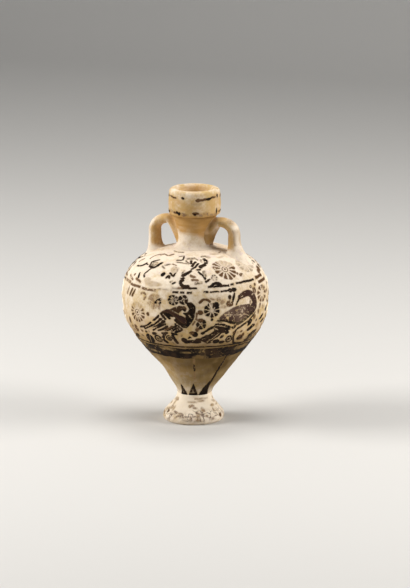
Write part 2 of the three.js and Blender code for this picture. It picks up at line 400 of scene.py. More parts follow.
def rosette(deco, azimuth, height, wide, high, petals, core=0.3, tone=0.0, fade=0.15, gap=0.5, turn=0.0):
    """A round flower: petals parted by incised lines round an incised ring with a dotted centre."""
    grid, x, y = deco.window(azimuth, height, max(wide, high) + 1)
    out = np.hypot(x / wide, y / high)
    angle = np.arctan2(y / high, x / wide) + turn
    size = min(wide, high)
    scallop = 0.10 * (1 - np.abs(np.cos(petals * angle / 2)))
    deco.paint(grid, (1 - scallop - out) * size, tone, fade)
    if petals:
        between = np.abs(np.cos(petals * angle / 2)) * 2 / petals * out * size
        deco.scratch(grid, np.minimum(gap / 2 - between, (out - core) * size))
    deco.scratch(grid, gap / 2 - np.abs(out - core) * size)
    if size * core > 1.2:
        deco.scratch(grid, gap / 2 - np.abs(out - 0.45 * core) * size)


def dabs(deco, tone, fade, rows, vein=False):
    """Single dabs of the brush, each given as (azimuth, height, half width, half height, tilt).

    A vein is one incised line along each of them."""
    for azimuth, height, wide, high, tilt in rows:
        grid, x, y = deco.window(azimuth, height, max(wide, high) + 1)
        deco.paint(grid, oval(x, y, wide, high, tilt), tone, fade)
        if vein:
            t = math.radians(tilt)
            across = y * math.cos(t) - x * math.sin(t) if wide > high else x * math.cos(t) + y * math.sin(t)
            deco.scratch(grid, 0.2 - np.abs(across))


# Motifs of the friezes

BLACK, BROWN, PURPLE = 0.0, 0.5, 1.0  # the pigments


def water_bird(deco, azimuth, height):
    """A bird seen from the side with a banded wing, lowered feathers and its neck laid back."""
    fade = 0.04
    grid, x, y = deco.window(azimuth, height, 26)
    for width, end_width, tone, points in (
        (1, 1, BLACK, [(-7, 2.9), (-10.8, -0.1)]),
        (1.4, 1, BLACK, [(-12.7, -2), (-16.8, -4.8), (-20.8, -5.8)]),
        (1.4, 0.9, BLACK, [(-5.6, 1.8), (-8.8, -1.4), (-12.9, -3.7), (-17.5, -6.3)]),
        (1.7, 0.9, BLACK, [(-4.1, 0.3), (-6.8, -1.9), (-11.2, -3.9)]),
        (1.1, 0.6, BLACK, [(-3.5, -1.7), (-6.9, -3.3), (-11.5, -6.2)]),
        (1.2, 0.8, BLACK, [(-2.3, -2.8), (-5, -4.6), (-8, -5.9)]),
        (0.9, 0.7, BROWN, [(0.8, -2.3), (-3.6, -5.3)]),
        (1.1, 0.8, BLACK, [(2.9, -2.1), (0.4, -3.5), (-2.6, -5.2)]),
        (1, 0.9, BLACK, [(3.7, -3.3), (0.3, -5.1)]),
        (1.4, 1.1, BLACK, [(5.9, -4.2), (2.3, -5.8)]),
        (1, 1, BLACK, [(-5.5, 3.9), (-3.1, 1.7)]),
        (1, 1, BLACK, [(-3.5, 4.6), (-0.5, 2.1)]),
        (0.7, 0.7, BLACK, [(2.7, -0.6), (5.5, -3.2)]),
        (0.7, 0.7, BLACK, [(4.1, -0.5), (6.9, -2.5)]),
        (0.8, 0.8, BROWN, [(7.4, 9), (8.5, 8)]),
    ):
        deco.paint(grid, stroke(x, y, points, width, end_width), tone, fade)
    wing = [(-6.5, 4.3), (-4.2, 6.1), (-1.6, 7.1), (0.1, 6.7), (3.1, 5.1), (6.2, 3.7), (8.7, 2.6),
        (9.7, 0.1), (9.9, -1.8), (8.2, -3.1), (6, -2), (3.9, -0.6), (2.3, 0.9), (1.2, 2.9),
        (-1.6, 3.1), (-4.5, 3.5)]
    deco.paint(grid, blob(x, y, wing), PURPLE, fade)
    wing_band = [(-6, 4.4), (-1, 3.9), (2.5, 1.7), (5.4, -0.9), (8.6, -2.4)]
    deco.overpaint(grid, stroke(x, y, wing_band, 2.2, 3), BLACK)
    breast = [(9, 11.2), (11.4, 11.3), (13.4, 9.4), (13.8, 7.6), (13.4, 5.6), (12.9, 3.4), (11.9, 0.6),
        (9.8, -2.1), (8.2, -3.1), (6.8, -1.9), (8.2, 0.3), (7.8, 2.3), (8.6, 3.9), (7, 5.6), (9.8, 6.4),
        (10.4, 8.2), (9.2, 9.8)]
    deco.paint(grid, blob(x, y, breast), BLACK, fade)
    shoulder = [(-1.6, 6.6), (1, 7.9), (3.6, 8.9), (6.4, 9.3), (6.9, 8.2), (5.8, 6.7), (4.8, 5.4),
        (3.6, 4.2), (0.2, 5.8)]
    deco.paint(grid, blob(x, y, shoulder), 0.5 * BROWN, fade)
    for points in ([(0.3, 6.9), (2.6, 5.8), (4.4, 5)], [(-6.6, 3), (-4, 0.9)],
            [(-4.4, 4), (-1.9, 1.9)], [(3.4, -0.6), (6.2, -2.9)], [(10.4, 4.6), (11.6, 2.4)],
            [(-9.4, -0.4), (-12.4, -2.4)], [(-7.6, 0.9), (-12.8, -2.9), (-17, -5.4)],
            [(-6.4, -0.6), (-11.8, -4.2)]):
        deco.scratch(grid, stroke(x, y, points, 0.4))
    deco.scratch(grid, oval(x + 11, y + 1.2, 1.1, 0.8, 40))
    deco.paint(grid, oval(x - 7.6, y - 7.4, 0.9, 0.5, -30), BLACK, fade)
    deco.scratch(grid, oval(x - 1.9, y - 2.4, 0.7, 0.6))
    deco.paint(grid, stroke(x, y, [(14.6, 5.4), (14, 2), (12.2, -1.3)], 0.8, 0.6), BROWN, fade + 0.1)


def swan(deco, azimuth, height):
    """A long-necked bird whose neck curls over its back, with a lowered wing and tail bars."""
    fade = 0.1
    grid, x, y = deco.window(azimuth, height, 28)
    for width, end_width, points in (
        (1.2, 1.1, [(-7, -0.8), (-9.8, -2.2), (-13, -4.4)]),
        (1.1, 1.2, [(6.9, -3.9), (5.9, -8), (6.6, -11.8), (8.1, -13.5), (12.9, -14.8)]),
    ):
        deco.paint(grid, stroke(x, y, points, width, end_width), BLACK, fade)
    feathers = [(-6.1, 1.3), (-3.1, 1.6), (0.2, 0.2), (3.6, -1.5), (5.2, -2.4), (2.6, -3), (0.6, -4.6),
                (-1.6, -4.9), (-3.4, -6.6), (-5, -7.6), (-6.6, -9.4), (-8.3, -10.9), (-11.6, -10),
                (-13, -8.6), (-12.4, -6.8), (-10.2, -6), (-8, -4.6), (-6.2, -3), (-6.6, -0.8)]
    deco.paint(grid, blob(x, y, feathers), BLACK, fade)
    for points in ([(-3.4, -5), (-6, -7.4), (-9, -10)], [(-9.4, -6.6), (-12, -8.2)]):
        deco.scratch(grid, stroke(x, y, points, 0.35))
    deco.scratch(grid, stroke(x, y, [(-5.9, -1.9), (-4.3, -2.6)], 0.6))
    body = [(-5.4, 2.7), (-1.2, 6.5), (2.9, 8.6), (6.1, 9.8), (15.3, 9.8), (21.4, 9), (21.5, 6.2),
        (18, 3.7), (14.4, 1.9), (8.4, -1), (4.4, 0.1), (0.6, 1.6), (-2.2, 2.1)]
    deco.paint(grid, blob(x, y, body), PURPLE, fade + 0.08)
    wing_edge = [(-4.4, 3), (2, 1.6), (8.4, 0.2), (14.4, 2.6), (18.6, 5)]
    deco.overpaint(grid, stroke(x, y, wing_edge, 1.6, 2.2), BLACK)
    neck = [(9.2, 14.6), (11.6, 15.7), (14.9, 15.9), (18, 14.2), (20, 11), (20.2, 7.6), (18.6, 5.6)]
    deco.paint(grid, stroke(x, y, neck, 3, 4.2), PURPLE, fade)
    deco.paint(grid, stroke(x, y, [(7.9, 13), (6.3, 10.8)], 1.1, 0.7), BLACK, fade + 0.05)
    deco.paint(grid, stroke(x, y, [(16.8, 12.4), (16.3, 9.6)], 0.7), BROWN, fade + 0.1)
    for points in ([(-6.6, 1.5), (-1.6, 0.9), (5.4, -1.3)], [(-6, 0.2), (-0.9, -0.8), (4.6, -2.8)],
                   [(-1.2, 5.9), (2.7, 5.7), (9, 4.7)], [(9.4, 3.6), (12, 4.6), (15.8, 2.9)],
                   [(1.6, 6.9), (1.7, 2.1)], [(9.8, 14.4), (11, 15)]):
        deco.scratch(grid, stroke(x, y, points, 0.4))
    deco.scratch(grid, oval(x - 0.9, y - 4, 0.9, 1.6, 20) - 0.3)
    belly = [(20.8, 4.1), (17.8, 2), (14, -0.3), (9.9, -2.3), (7.6, -3.1)]
    deco.paint(grid, stroke(x, y, belly, 1), BLACK, fade + 0.05)
    deco.scratch(grid, stroke(x, y, [(21.6, 4.9), (17.8, 2.7), (14, 0.5), (9.4, -1.6)], 0.45))


def crescent(deco, azimuth, height, size, turn=0, tone=BLACK, fade=0.2):
    """A hooked filling stroke."""
    points = [(size * math.cos(math.radians(turn + a)), size * math.sin(math.radians(turn + a)))
              for a in (-20, 50, 120, 190)]
    deco.strokes(azimuth, height, size + 2, [(1, 0.6, points)], tone, fade)


FILLER_TRIES = 260


def fill_gaps(deco, first, last, low, high, seed, largest=2.3):
    """Scatters small filling ornaments where a frieze is still bare."""
    draw = np.random.default_rng(seed)
    for _ in range(FILLER_TRIES):
        azimuth = draw.uniform(first, last)
        height = draw.uniform(low, high)
        kind = draw.integers(0, 5)
        size = draw.uniform(0.45 * largest, largest)
        tilt = draw.uniform(0, 180)
        tone = draw.choice([BLACK, BLACK, BROWN])
        fade = draw.uniform(0.1, 0.35)
        grid, x, y = deco.window(azimuth, height, size + 2)
        near = np.hypot(x, y) < size + 0.6
        if (deco.slip[grid][near] > -0.25).any():
            continue
        if kind == 0:
            rosette(deco, azimuth, height, size, size, 6, 0.3, tone, fade, 0.4)
        elif kind == 1:
            dabs(deco, tone, fade, [(azimuth, height, size, 0.6 * size, tilt)], vein=True)
        elif kind == 2:
            crescent(deco, azimuth, height, 0.8 * size, tilt, tone, fade)
        elif kind == 3:
            dabs(deco, tone, fade, [(azimuth, height, 0.6 * size, 0.5 * size, tilt)])
        else:
            curl = [(-size, -0.3), (0, 0.5), (size, 0)]
            deco.strokes(azimuth, height, size + 1, [(0.8, 0.5, curl)], tone, fade)


def paint_front_frieze(deco):
    """The main frieze as the photograph shows it, from the left handle to the right one."""
    water_bird(deco, 0.6, 63.8)
    swan(deco, 44.8, 61.8)
    rosette(deco, -31.8, 66.4, 5.8, 5.6, 14, 0.4, BROWN, 0.04, 0.8)
    deco.rub(-31.8, 70.4, 5, 2.2, 0.46)
    rosette(deco, 2.9, 76.1, 3.3, 2.7, 8, 0.45, BLACK, 0.04, 0.34)
    rosette(deco, 10.8, 76.6, 2.5, 2.5, 4, 0.2, BLACK, 0.03, 0.36, 0.4)
    rosette(deco, -14.2, 74.3, 3.8, 4, 7, 0.3, BROWN, 0.4, 0.8)
    rosette(deco, 33.2, 70.6, 4.4, 4.1, 9, 0.02, BLACK, 0.02, 0.42, 0.2)
    dabs(deco, BLACK, 0.02, [(36.6, 73.6, 1.5, 1.2, 0)])
    deco.incise(32.6, 73.4, [(0.2, -1.6), (-0.8, 1.4)], 1)
    rosette(deco, 24.9, 63.1, 2.6, 2.9, 5, 0.2, BLACK, 0.05, 0.36, 0.5)
    dabs(deco, BROWN, 0.06, [(24.2, 65.2, 1.7, 0.9, 10)])
    dabs(deco, BROWN, 0.34, [(-16, 76.2, 1.5, 1.7, 0), (-14.3, 72.2, 1, 1, 0),
        (-18.3, 73.1, 1.1, 0.5, 20), (-8.9, 71.8, 0.5, 1.1, 0), (-11, 77.3, 1, 0.6, 0),
        (39, 76.4, 1.3, 1.1, 0), (42.2, 74.8, 1.3, 0.9, 30), (43, 72.2, 1.3, 0.5, 0),
        (33.8, 76.7, 1, 0.4, -20)])
    dabs(deco, BLACK, 0.08, [(-9.6, 75.3, 1.6, 0.6, 25), (-12.2, 73.7, 0.8, 0.7, 40),
        (-8.6, 73.8, 0.8, 0.6, 20), (48.4, 77, 0.9, 1.2, 0), (51.7, 76.8, 0.6, 2.4, -18),
        (49.6, 80.6, 1.1, 1, 0), (53, 80.8, 1.4, 1, 0), (33.2, 65.5, 0.7, 0.7, 0)])
    dabs(deco, BROWN, 0.08, [(-19.9, 66.7, 0.9, 0.9, 0), (24.3, 69.5, 1.4, 1.2, 0),
        (48, 73.6, 1.9, 1.6, 0), (77.3, 80.9, 0.8, 0.7, 0)])
    deco.incise(49.4, 75.8, [(0.9, 2.6), (-0.4, -1.6)])
    for azimuth, fade in ((-47.2, 0.34), (-41, 0.1), (-37.4, 0.1)):
        deco.strokes(azimuth, 76.6, 4, [(1.2, 0.8, [(-1.1, -1.9), (0.9, 1.9)])], BROWN, fade)
    crescent(deco, -25.1, 76.4, 1.7, -40, BROWN, 0.25)
    rosette(deco, 86.4, 74.9, 5.8, 4.6, 9, 0.3, BROWN, 0.12, 0.9)
    dabs(deco, BROWN, 0.06, [(74.7, 78.3, 1.4, 1.7, 20), (81.7, 69, 0.9, 1.3, 0),
        (80, 66, 0.9, 1.4, 0), (74.5, 63.4, 1, 1.2, 0), (71, 80.6, 0.8, 0.7, 0)], vein=True)
    dabs(deco, BLACK, 0.1, [(96.1, 65.2, 2, 1.5, 20), (86.4, 61.8, 2.4, 0.9, 15),
        (91, 59.2, 2.4, 0.8, 15), (69, 61.2, 1.2, 1.4, 30), (71.9, 57.5, 2.8, 1.3, 25),
        (78.3, 53.3, 4, 1.5, 20), (75.6, 50.6, 3.2, 1.1, 10), (62, 53, 2.3, 1.2, 15),
        (75.9, 58.2, 0.9, 0.7, 0)])
    deco.strokes(27, 76.5, 8, [(1.2, 0.9, [(-2.2, -1.2), (-1, 0.1), (0.2, 0.4)]),
        (1, 0.9, [(1.2, 0.2), (2.4, -0.2), (3.4, -1.1)])], BROWN, 0.1)
    paint_lower_fillers(deco)


def paint_lower_fillers(deco):
    """The row of buds, hooks and little rosettes under the birds."""
    dabs(deco, BLACK, 0.04, [(-23.6, 51.8, 2.9, 3, -15)], vein=True)
    dabs(deco, BLACK, 0.04, [(-16, 55.7, 1.5, 1, 20), (10.6, 53.4, 1.6, 1.5, 0),
        (22.6, 53.4, 1.6, 1.2, 0), (19.8, 57, 1.5, 1.7, 0), (38.2, 52.2, 1.9, 1.5, 0),
        (43.7, 51.4, 1.4, 1, 0), (46.7, 57.2, 1.1, 1, 0), (-44.4, 51.2, 2.4, 1.2, 30),
        (69.5, 60.9, 1.9, 0.9, 45)])
    dabs(deco, BROWN, 0.1, [(17.6, 57.8, 1.4, 1.1, 0), (54, 56.6, 1, 1, 0),
        (61, 53.4, 1.3, 1.2, 0), (64.6, 54, 1, 1.3, 0), (62.8, 51.8, 1.8, 0.8, 0),
        (21.8, 60, 0.9, 1.2, 0), (-37.6, 56.5, 1.6, 2, 0), (-45.3, 60, 1.2, 1.6, 0),
        (-30.5, 55.8, 0.8, 0.7, 0)])
    for azimuth, height, wide, high in ((-13.4, 52.8, 2.4, 2.4), (-2.4, 54, 1.7, 1.9),
            (49.8, 52.8, 2, 2.4)):
        rosette(deco, azimuth, height, wide, high, 0, 0.55, BLACK, 0.05, 0.34)
    dabs(deco, BLACK, 0.16, [(29.6, 55.6, 1.6, 0.9, 20), (31.4, 51.8, 1.5, 0.8, 0),
        (26.6, 57.6, 1, 0.7, 30), (47.4, 60.4, 1, 0.7, 0), (42.6, 55, 1.2, 0.8, 40),
        (52.4, 60, 1.2, 0.8, 30)])
    deco.strokes(0.6, 54, 18, [
        (1.1, 1, [(-5.6, 3), (-2.6, 3.6)]),
        (1.4, 1.5, [(-4, 2.8), (-5.6, 0), (-4.9, -2.2), (-3.6, -3.4)]),
        (1, [(0, 3.4), (2.8, 3)]),
        (1.4, 1.6, [(0.4, 2.4), (1, -0.4), (2.2, -2.9)]),
        (2.1, 2.3, [(6.9, -2), (9.4, -1.7), (12.4, -2), (14.2, -1.6)]),
    ], BLACK, 0.05)


def paint_front_shoulder(deco):
    """The worn upper frieze: the remains of two animals, and two rosettes on the right."""
    deco.strokes(-29.3, 91.7, 24, [
        (0.5, 1.2, [(-13.8, -4.3), (-9.4, -3.3), (-7.7, -1.9), (-6.5, -0.5)]),
        (0.6, 0.5, [(-6.5, -0.5), (-4.1, -0.9)]),
        (1.4, 0.7, [(-3, 1.5), (-1.7, 2.8), (0.4, 4.4)]),
        (1.3, 1.1, [(-3, 1.5), (-2.3, -0.4), (-2, -1.6)]),
        (1.2, 1.6, [(-1.1, -1.6), (1.3, -2.1), (2.8, -1.2), (3.4, 0.7)]),
        (1.2, 1.7, [(3.4, 0.7), (4, 2.2)]),
        (0.7, 0.8, [(0.7, -2.9), (-0.2, -4.6), (-1.2, -6.3), (-1.3, -7.6), (-0.2, -8.6)]),
        (0.9, 1.8, [(-5.8, -7.6), (-5, -9.5)]),
    ], BLACK, 0.05)
    deco.strokes(-29.3, 91.7, 24, [
        (0.7, [(-16.3, -1.9), (-15.1, -0.2), (-13.3, 1.1)]),
        (0.7, [(-7.4, 3.4), (-7.2, 6.1), (-6.2, 8.4), (-2.2, 10.5)]),
        (0.9, 0.8, [(-14.7, -10.6), (-12.8, -11.6), (-9.5, -12.2)]),
        (1, 0.9, [(-6.6, -11), (-4.4, -11.4), (-1.7, -12.2)]),
    ], BROWN, 0.24)
    deco.strokes(22.3, 91.8, 28, [
        (0.6, 0.7, [(-6.8, 11.1), (-7.6, 7.2), (-11.2, 6.1)]),
        (1.1, 1, [(-2.9, 6.2), (-3.2, 3.8)]),
        (1.1, 1.2, [(-0.8, 5.3), (-2.7, 1.7)]),
        (1.1, 0.5, [(0.7, 3.9), (-0.8, 1.2), (-3.3, -0.7)]),
        (1.5, 2.4, [(4.2, 8.3), (5.3, 5.3), (4.5, 3.1), (2.2, 1.4)]),
        (1.1, 1, [(-0.2, -1.1), (1.6, -0.8)]),
        (0.8, 1.2, [(0.8, -2.6), (3, -5.2), (4.2, -7.1)]),
        (1.2, 1.9, [(-3.5, -2.1), (-5.1, -3.3), (-7.8, -5.3)]),
        (0.6, [(-9, -7), (-7.1, -6.9)]),
        (1.4, 1.6, [(-8.2, -8.1), (-9.3, -9.3), (-8.8, -10.9), (-7.7, -11.6)]),
        (1.5, [(-8.1, -11.7), (-5.3, -11.6)]),
        (0.7, [(-13.8, -10.5), (-12.4, -9.7)]),
        (0.9, [(4.6, -8.9), (6.6, -7.6)]),
        (1.1, [(-15, -4.4), (-13.5, -5.7), (-12.2, -3.5)]),
        (1.4, 1.9, [(7.6, -11.6), (9.2, -10.2), (11.1, -10.2), (12.6, -11.6)]),
    ], BLACK, 0.04)
    deco.strokes(22.3, 91.8, 28, [
        (0.9, [(-20.2, -0.1), (-19, -1.3)]),
        (0.6, [(-18.5, 0.9), (-15.3, 2.1)]),
        (0.6, [(-9.4, 10.2), (-6.8, 11.1)]),
        (0.6, [(-7.1, -2), (-8.3, -3.7)]),
        (0.6, [(-15.1, -9.7), (-13.7, -8.9)]),
        (1.2, 1.4, [(3.6, -2.4), (4.2, -5.3)]),
        (0.6, [(-1.2, 9.6), (0.6, 7.2)]),
        (0.7, [(2.4, 7.5), (2.8, 5.5)]),
        (0.7, [(-11.2, 4.3), (-7.7, 4.1), (-4.9, 3.2)]),
        (0.7, [(-5.9, 6.4), (-4.7, 3.8)]),
        (1.2, [(3.2, 10.8), (4.8, 11.2), (7, 9.6)]),
        (1, 0.9, [(-1.1, -9.9), (2, -9.6)]),
        (0.6, 0.5, [(-13.3, 15.6), (-10.3, 15), (-7.1, 15.4)]),
    ], BLACK, 0.32)
    deco.strokes(22.3, 91.8, 28, [
        (1.3, 1.1, [(-3.4, -5.2), (-1.4, -6)]),
        (1.2, 1, [(-2.8, -7.8), (0, -8)]),
        (0.7, [(-23.7, 8.7), (-20.3, 10.4), (-17.3, 9.7)]),
        (0.6, 0.5, [(-16.2, 10), (-13.2, 12.1)]),
        (0.6, 0.5, [(-13.7, 2.4), (-11.8, 1.8)]),
        (0.6, 0.5, [(12.4, 12.6), (15.6, 13.4)]),
    ], BROWN, 0.24)
    dabs(deco, BLACK, 0.03, [(-10.6, 88.5, 1.2, 1.3, -20), (-5.4, 87.6, 0.5, 1, -35),
        (-3.8, 87.6, 0.5, 1, 35), (94, 90.4, 2.4, 1, -25)])
    dabs(deco, BROWN, 0.18, [(98.8, 87, 1.8, 1.6, 20), (94, 86, 1.6, 1.2, 20),
        (65.9, 87.2, 1.4, 1, 0), (-45.2, 85.4, 0.8, 0.6, 0), (60, 95.4, 1.4, 0.5, 10),
        (62.4, 88, 0.7, 0.6, 0)])
    dabs(deco, BLACK, 0.34, [(-29.6, 92, 2.4, 1.5, 20), (14.6, 95.4, 2.2, 1, 10)])
    dabs(deco, PURPLE, 0.7,
        [(-16.8, 83.4, 4.6, 1.2, 0), (-24, 84.8, 2, 1.2, 0), (59, 96.6, 2.4, 0.8, 0)])
    dabs(deco, PURPLE, 0.48, [(-1.8, 91, 1.5, 2, 0), (0.6, 90, 0.8, 2.6, -15)])
    rosette(deco, 51.8, 90.8, 6.5, 7, 13, 0.34, BROWN, 0.14, 0.75)
    deco.rub(58, 94, 5, 5, 0.6)
    rosette(deco, 37.4, 87.6, 1.7, 1.8, 6, 0.4, BLACK, 0.3, 0.5)
    rosette(deco, 82, 90.8, 6.6, 5.2, 9, 0.3, BLACK, 0.46, 0.9)
    deco.whiten(-10, 84, 9, 3, 0.5, 3, 82)


def paint_back(deco):
    """The side away from the photograph carries the same friezes on."""
    swan(deco, 128, 62.5)
    water_bird(deco, 195, 63.4)
    swan(deco, 242, 62.2)
    for azimuth, height, size, petals, tone in (
        (158, 76, 3.4, 9, BLACK), (160, 56, 2.6, 8, BLACK), (216, 74.8, 4.2, 14, BROWN),
        (222, 60.4, 2.8, 7, BLACK), (228, 76, 2.4, 8, BLACK), (281, 73.2, 4.2, 11, BROWN),
        (282, 58.6, 3.2, 9, BLACK), (105, 57.5, 3, 8, BROWN), (134, 78, 2.2, 6, BLACK),
    ):
        rosette(deco, azimuth, height, size, size, petals, 0.3, tone, 0.12, 0.4)
    for azimuth, petals, tone in ((128, 13, BROWN), (176, 15, BLACK), (222, 14, BROWN), (262, 13, BLACK)):
        rosette(deco, azimuth, 90.6, 5.2, 7, petals, 0.3, tone, 0.28, 0.5)
    for azimuth in (152, 199, 242, 280):
        deco.strokes(azimuth, 90, 14, [
            (1.9, 0.9, [(-5.6, -3.6), (-1.6, 0.4), (3.6, 1.6), (6.4, 5.2)]),
            (1.4, 0.8, [(-2.4, 0.2), (-3.6, 4.2), (-0.6, 7)]),
            (1.2, 0.7, [(2.6, 0.6), (4.4, -3.6), (3.4, -7.4)]),
        ], BLACK, 0.2)


def paint_frame_lines(deco):
    """The turned lines under the shoulder and above the band, worn into dashes in places."""
    deco.line(-62, -46, 81.2, 1.1, BROWN, 0.3)
    deco.line(-45, -30, 80.5, 1, BROWN, 0.2)
    deco.line(-28, -13, 80.2, 1, BROWN, 0.22)
    deco.dashes(-12, 1, 81.6, 0.7, BROWN, 0.4, 61)
    deco.line(1, 10, 82.6, 0.8, BROWN, 0.3)
    deco.line(9.5, 21.8, 82.7, 0.8, BLACK, 0.1)
    deco.dashes(2, 18, 80.4, 0.9, BLACK, 0.12, 62)
    deco.dashes(27, 47, 80.6, 0.8, BLACK, 0.12, 63)
    deco.line(31, 49, 83.2, 0.9, BLACK, 0.1)
    deco.line(51, 54, 83.5, 0.9, BLACK, 0.1)
    deco.line(56, 78, 83.7, 0.9, BLACK, 0.08)
    deco.line(82, 96, 84, 1.3, BROWN, 0.1)
    deco.line(84, 100, 81.4, 1.3, BROWN, 0.1)
    deco.dashes(118, 300, 82.9, 1.1, BROWN, 0.2, 65)
    deco.dashes(120, 298, 80.5, 0.9, BLACK, 0.2, 66)
    deco.line(-180, 180, 48.9, 0.8, BLACK, 0.08)


BAND_HEIGHT = 44.4  # mm, the band's middle
BAND_HALF = 4.1  # mm from the band's middle to its edges


def paint_band(deco):
    """The broad dark band under the friezes, rubbed through in patches."""
    level = np.interp(BAND_HEIGHT, deco.height, deco.run)
    inside = BAND_HALF - np.abs(deco.run[:, None] - level + 0.9 * deco.waver_y + 0.6 * deco.noise(4.5, 71))
    deco.paint(EVERYWHERE, inside, BLACK, 0)
    deco.fade = np.where(inside > -0.3, np.clip(0.24 * deco.noise(8, 72), 0, 0.3), deco.fade)
    for azimuth, height, wide, high in ((-8, 46.8, 4.5, 1.2), (25, 42, 3.6, 1.4),
            (74, 45.6, 6, 1.8), (-46, 46.2, 3, 1.2), (-30, 43.6, 2.6, 0.8),
            (10, 45, 2.4, 0.8)):
        deco.rub(azimuth, height, wide, high, 0.5)


RAY_FOOT = 15.4  # mm, height of the rays' bases


def ray(deco, azimuth, half_width, height, worn, edge_to=0):
    """A ray that rises from the stem. Where it is worn its middle has faded to a brown wash."""
    grid, x, _ = deco.window(azimuth, RAY_FOOT + 9, 34)
    level = deco.height[grid[0]] + 0 * x
    rise = (level - RAY_FOOT) / height
    side = half_width * np.clip(1 - rise, 0, 1) ** 0.8
    whole = np.minimum(side - np.abs(x), np.minimum(level - RAY_FOOT, RAY_FOOT + height - level))
    if worn:
        middle = np.clip((whole - 0.9) / 0.5, 0, 1) * np.clip((0.75 - rise) / 0.2, 0, 1)
        deco.paint(grid, whole, BLACK, 0.06 + 0.3 * middle)
    else:
        deco.paint(grid, whole, BLACK, 0.04)
    if edge_to:
        slant = 0.12 * (level - RAY_FOOT)
        edge = np.minimum(0.78 - 0.014 * (level - RAY_FOOT) - np.abs(x - slant),
            np.minimum(level - RAY_FOOT - 4, edge_to - level))
        deco.paint(grid, edge, BLACK, 0.12)


def paint_rays(deco):
    ray(deco, -17.5, 1.9, 6.6, True)
    ray(deco, 15, 2.4, 7.6, True)
    ray(deco, 51, 2.9, 9, False, 41)
    dabs(deco, BLACK, 0.1, [(18, 34.6, 0.55, 3, 2)])
    dabs(deco, BROWN, 0.34, [(18.2, 29, 0.35, 2.6, 0), (17.8, 38.6, 0.35, 1.6, 0)])
    for azimuth in range(120, 290, 38):
        ray(deco, azimuth, 2.3, 9, azimuth % 4 == 0, 40)


def paint_body(deco):
    paint_front_frieze(deco)
    paint_front_shoulder(deco)
    paint_back(deco)
    fill_gaps(deco, 95, 292, 50.5, 79, 31)
    fill_gaps(deco, 100, 296, 85, 94, 32)
    fill_gaps(deco, -38, 110, 50.5, 58, 33)
    fill_gaps(deco, 58, 112, 56, 78.5, 34)
    fill_gaps(deco, 14, 72, 50.5, 60, 35, 1.2)
    fill_gaps(deco, -44, 10, 50.5, 57, 36, 1)
    paint_frame_lines(deco)
    paint_band(deco)
    paint_rays(deco)
    # Pale crust in patches along the belly's two contours as the camera sees them, standing a little proud;
    # the whitening there is partly the crust and partly a painted highlight on those contours.
    for azimuth, height, wide, high, share in ((-70, 75, 4.5, 4, 1), (-68, 66, 3, 4, 1),
            (-62, 58, 3, 3, 0.9), (111, 76, 4, 5, 1), (106, 62, 3, 4, 1),
            (-50, 46, 5, 1.6, 0.8), (96, 68, 2, 3.5, 0.7), (92, 46, 4, 1.6, 0.6)):
        deco.whiten(azimuth, height, wide, high, share, 2.2, 81)


def paint_foot(deco):
    """Scattered remains of the band that covered the foot."""
    dabs(deco, BROWN, 0.36, [(15.1, 11.6, 1.9, 0.45, 0), (41.9, 12.2, 1.5, 0.5, 0),
        (42.1, 7.9, 0.8, 1.4, 20), (75.1, 9.3, 1.4, 0.6, 0), (70.6, 7.2, 0.5, 1.1, 0),
        (10, 9.5, 0.9, 0.9, 0), (16, 9.9, 0.8, 0.6, 0), (22, 8.8, 1.2, 0.6, -10),
        (44, 13.4, 3, 0.35, 0), (30.1, 5.4, 1.4, 0.7, 25), (27.9, 3.2, 1.1, 0.4, 0),
        (13.7, 4.2, 0.4, 1, 0), (46.3, 4.7, 0.8, 0.4, 0)])
    dabs(deco, BROWN, 0.12,
        [(83, 3.9, 1.2, 1.1, 0), (-45.7, 5.5, 0.9, 0.9, 0), (-51, 6.4, 0.7, 0.6, 0)])
    dabs(deco, PURPLE, 0.62, [(-47.2, 10.3, 0.6, 2.4, 0), (-34.6, 7.6, 0.6, 1.3, 0)])
    dabs(deco, PURPLE, 0.34, [(-21.4, 6.1, 1.6, 0.5, -15), (-7.5, 5.2, 1.7, 1, -10),
        (2.2, 4.3, 2.2, 0.5, 10), (6.2, 2.9, 1.5, 0.4, 0)])
    cracks = 0.22 - 2.2 * np.abs(deco.noise(1.7, 46))
    low = np.clip(1 - np.abs(deco.height[:, None] - 4.4) / 2.4, -1, 1)
    patches = low - 0.45 + deco.noise(6, 47)
    deco.paint(EVERYWHERE, np.minimum(cracks, 0.8 * patches), PURPLE, 0.3)
    draw = np.random.default_rng(44)
    dabs(deco, BROWN, 0.4, [(draw.uniform(90, 320), draw.uniform(2.6, 13), draw.uniform(0.4, 1.8),
        draw.uniform(0.3, 0.9), draw.uniform(-25, 25)) for _ in range(44)])
    for azimuth in range(-160, 200, 40):
        deco.whiten(azimuth, 9.5, 9, 8, 0.7, 2.6, 84)


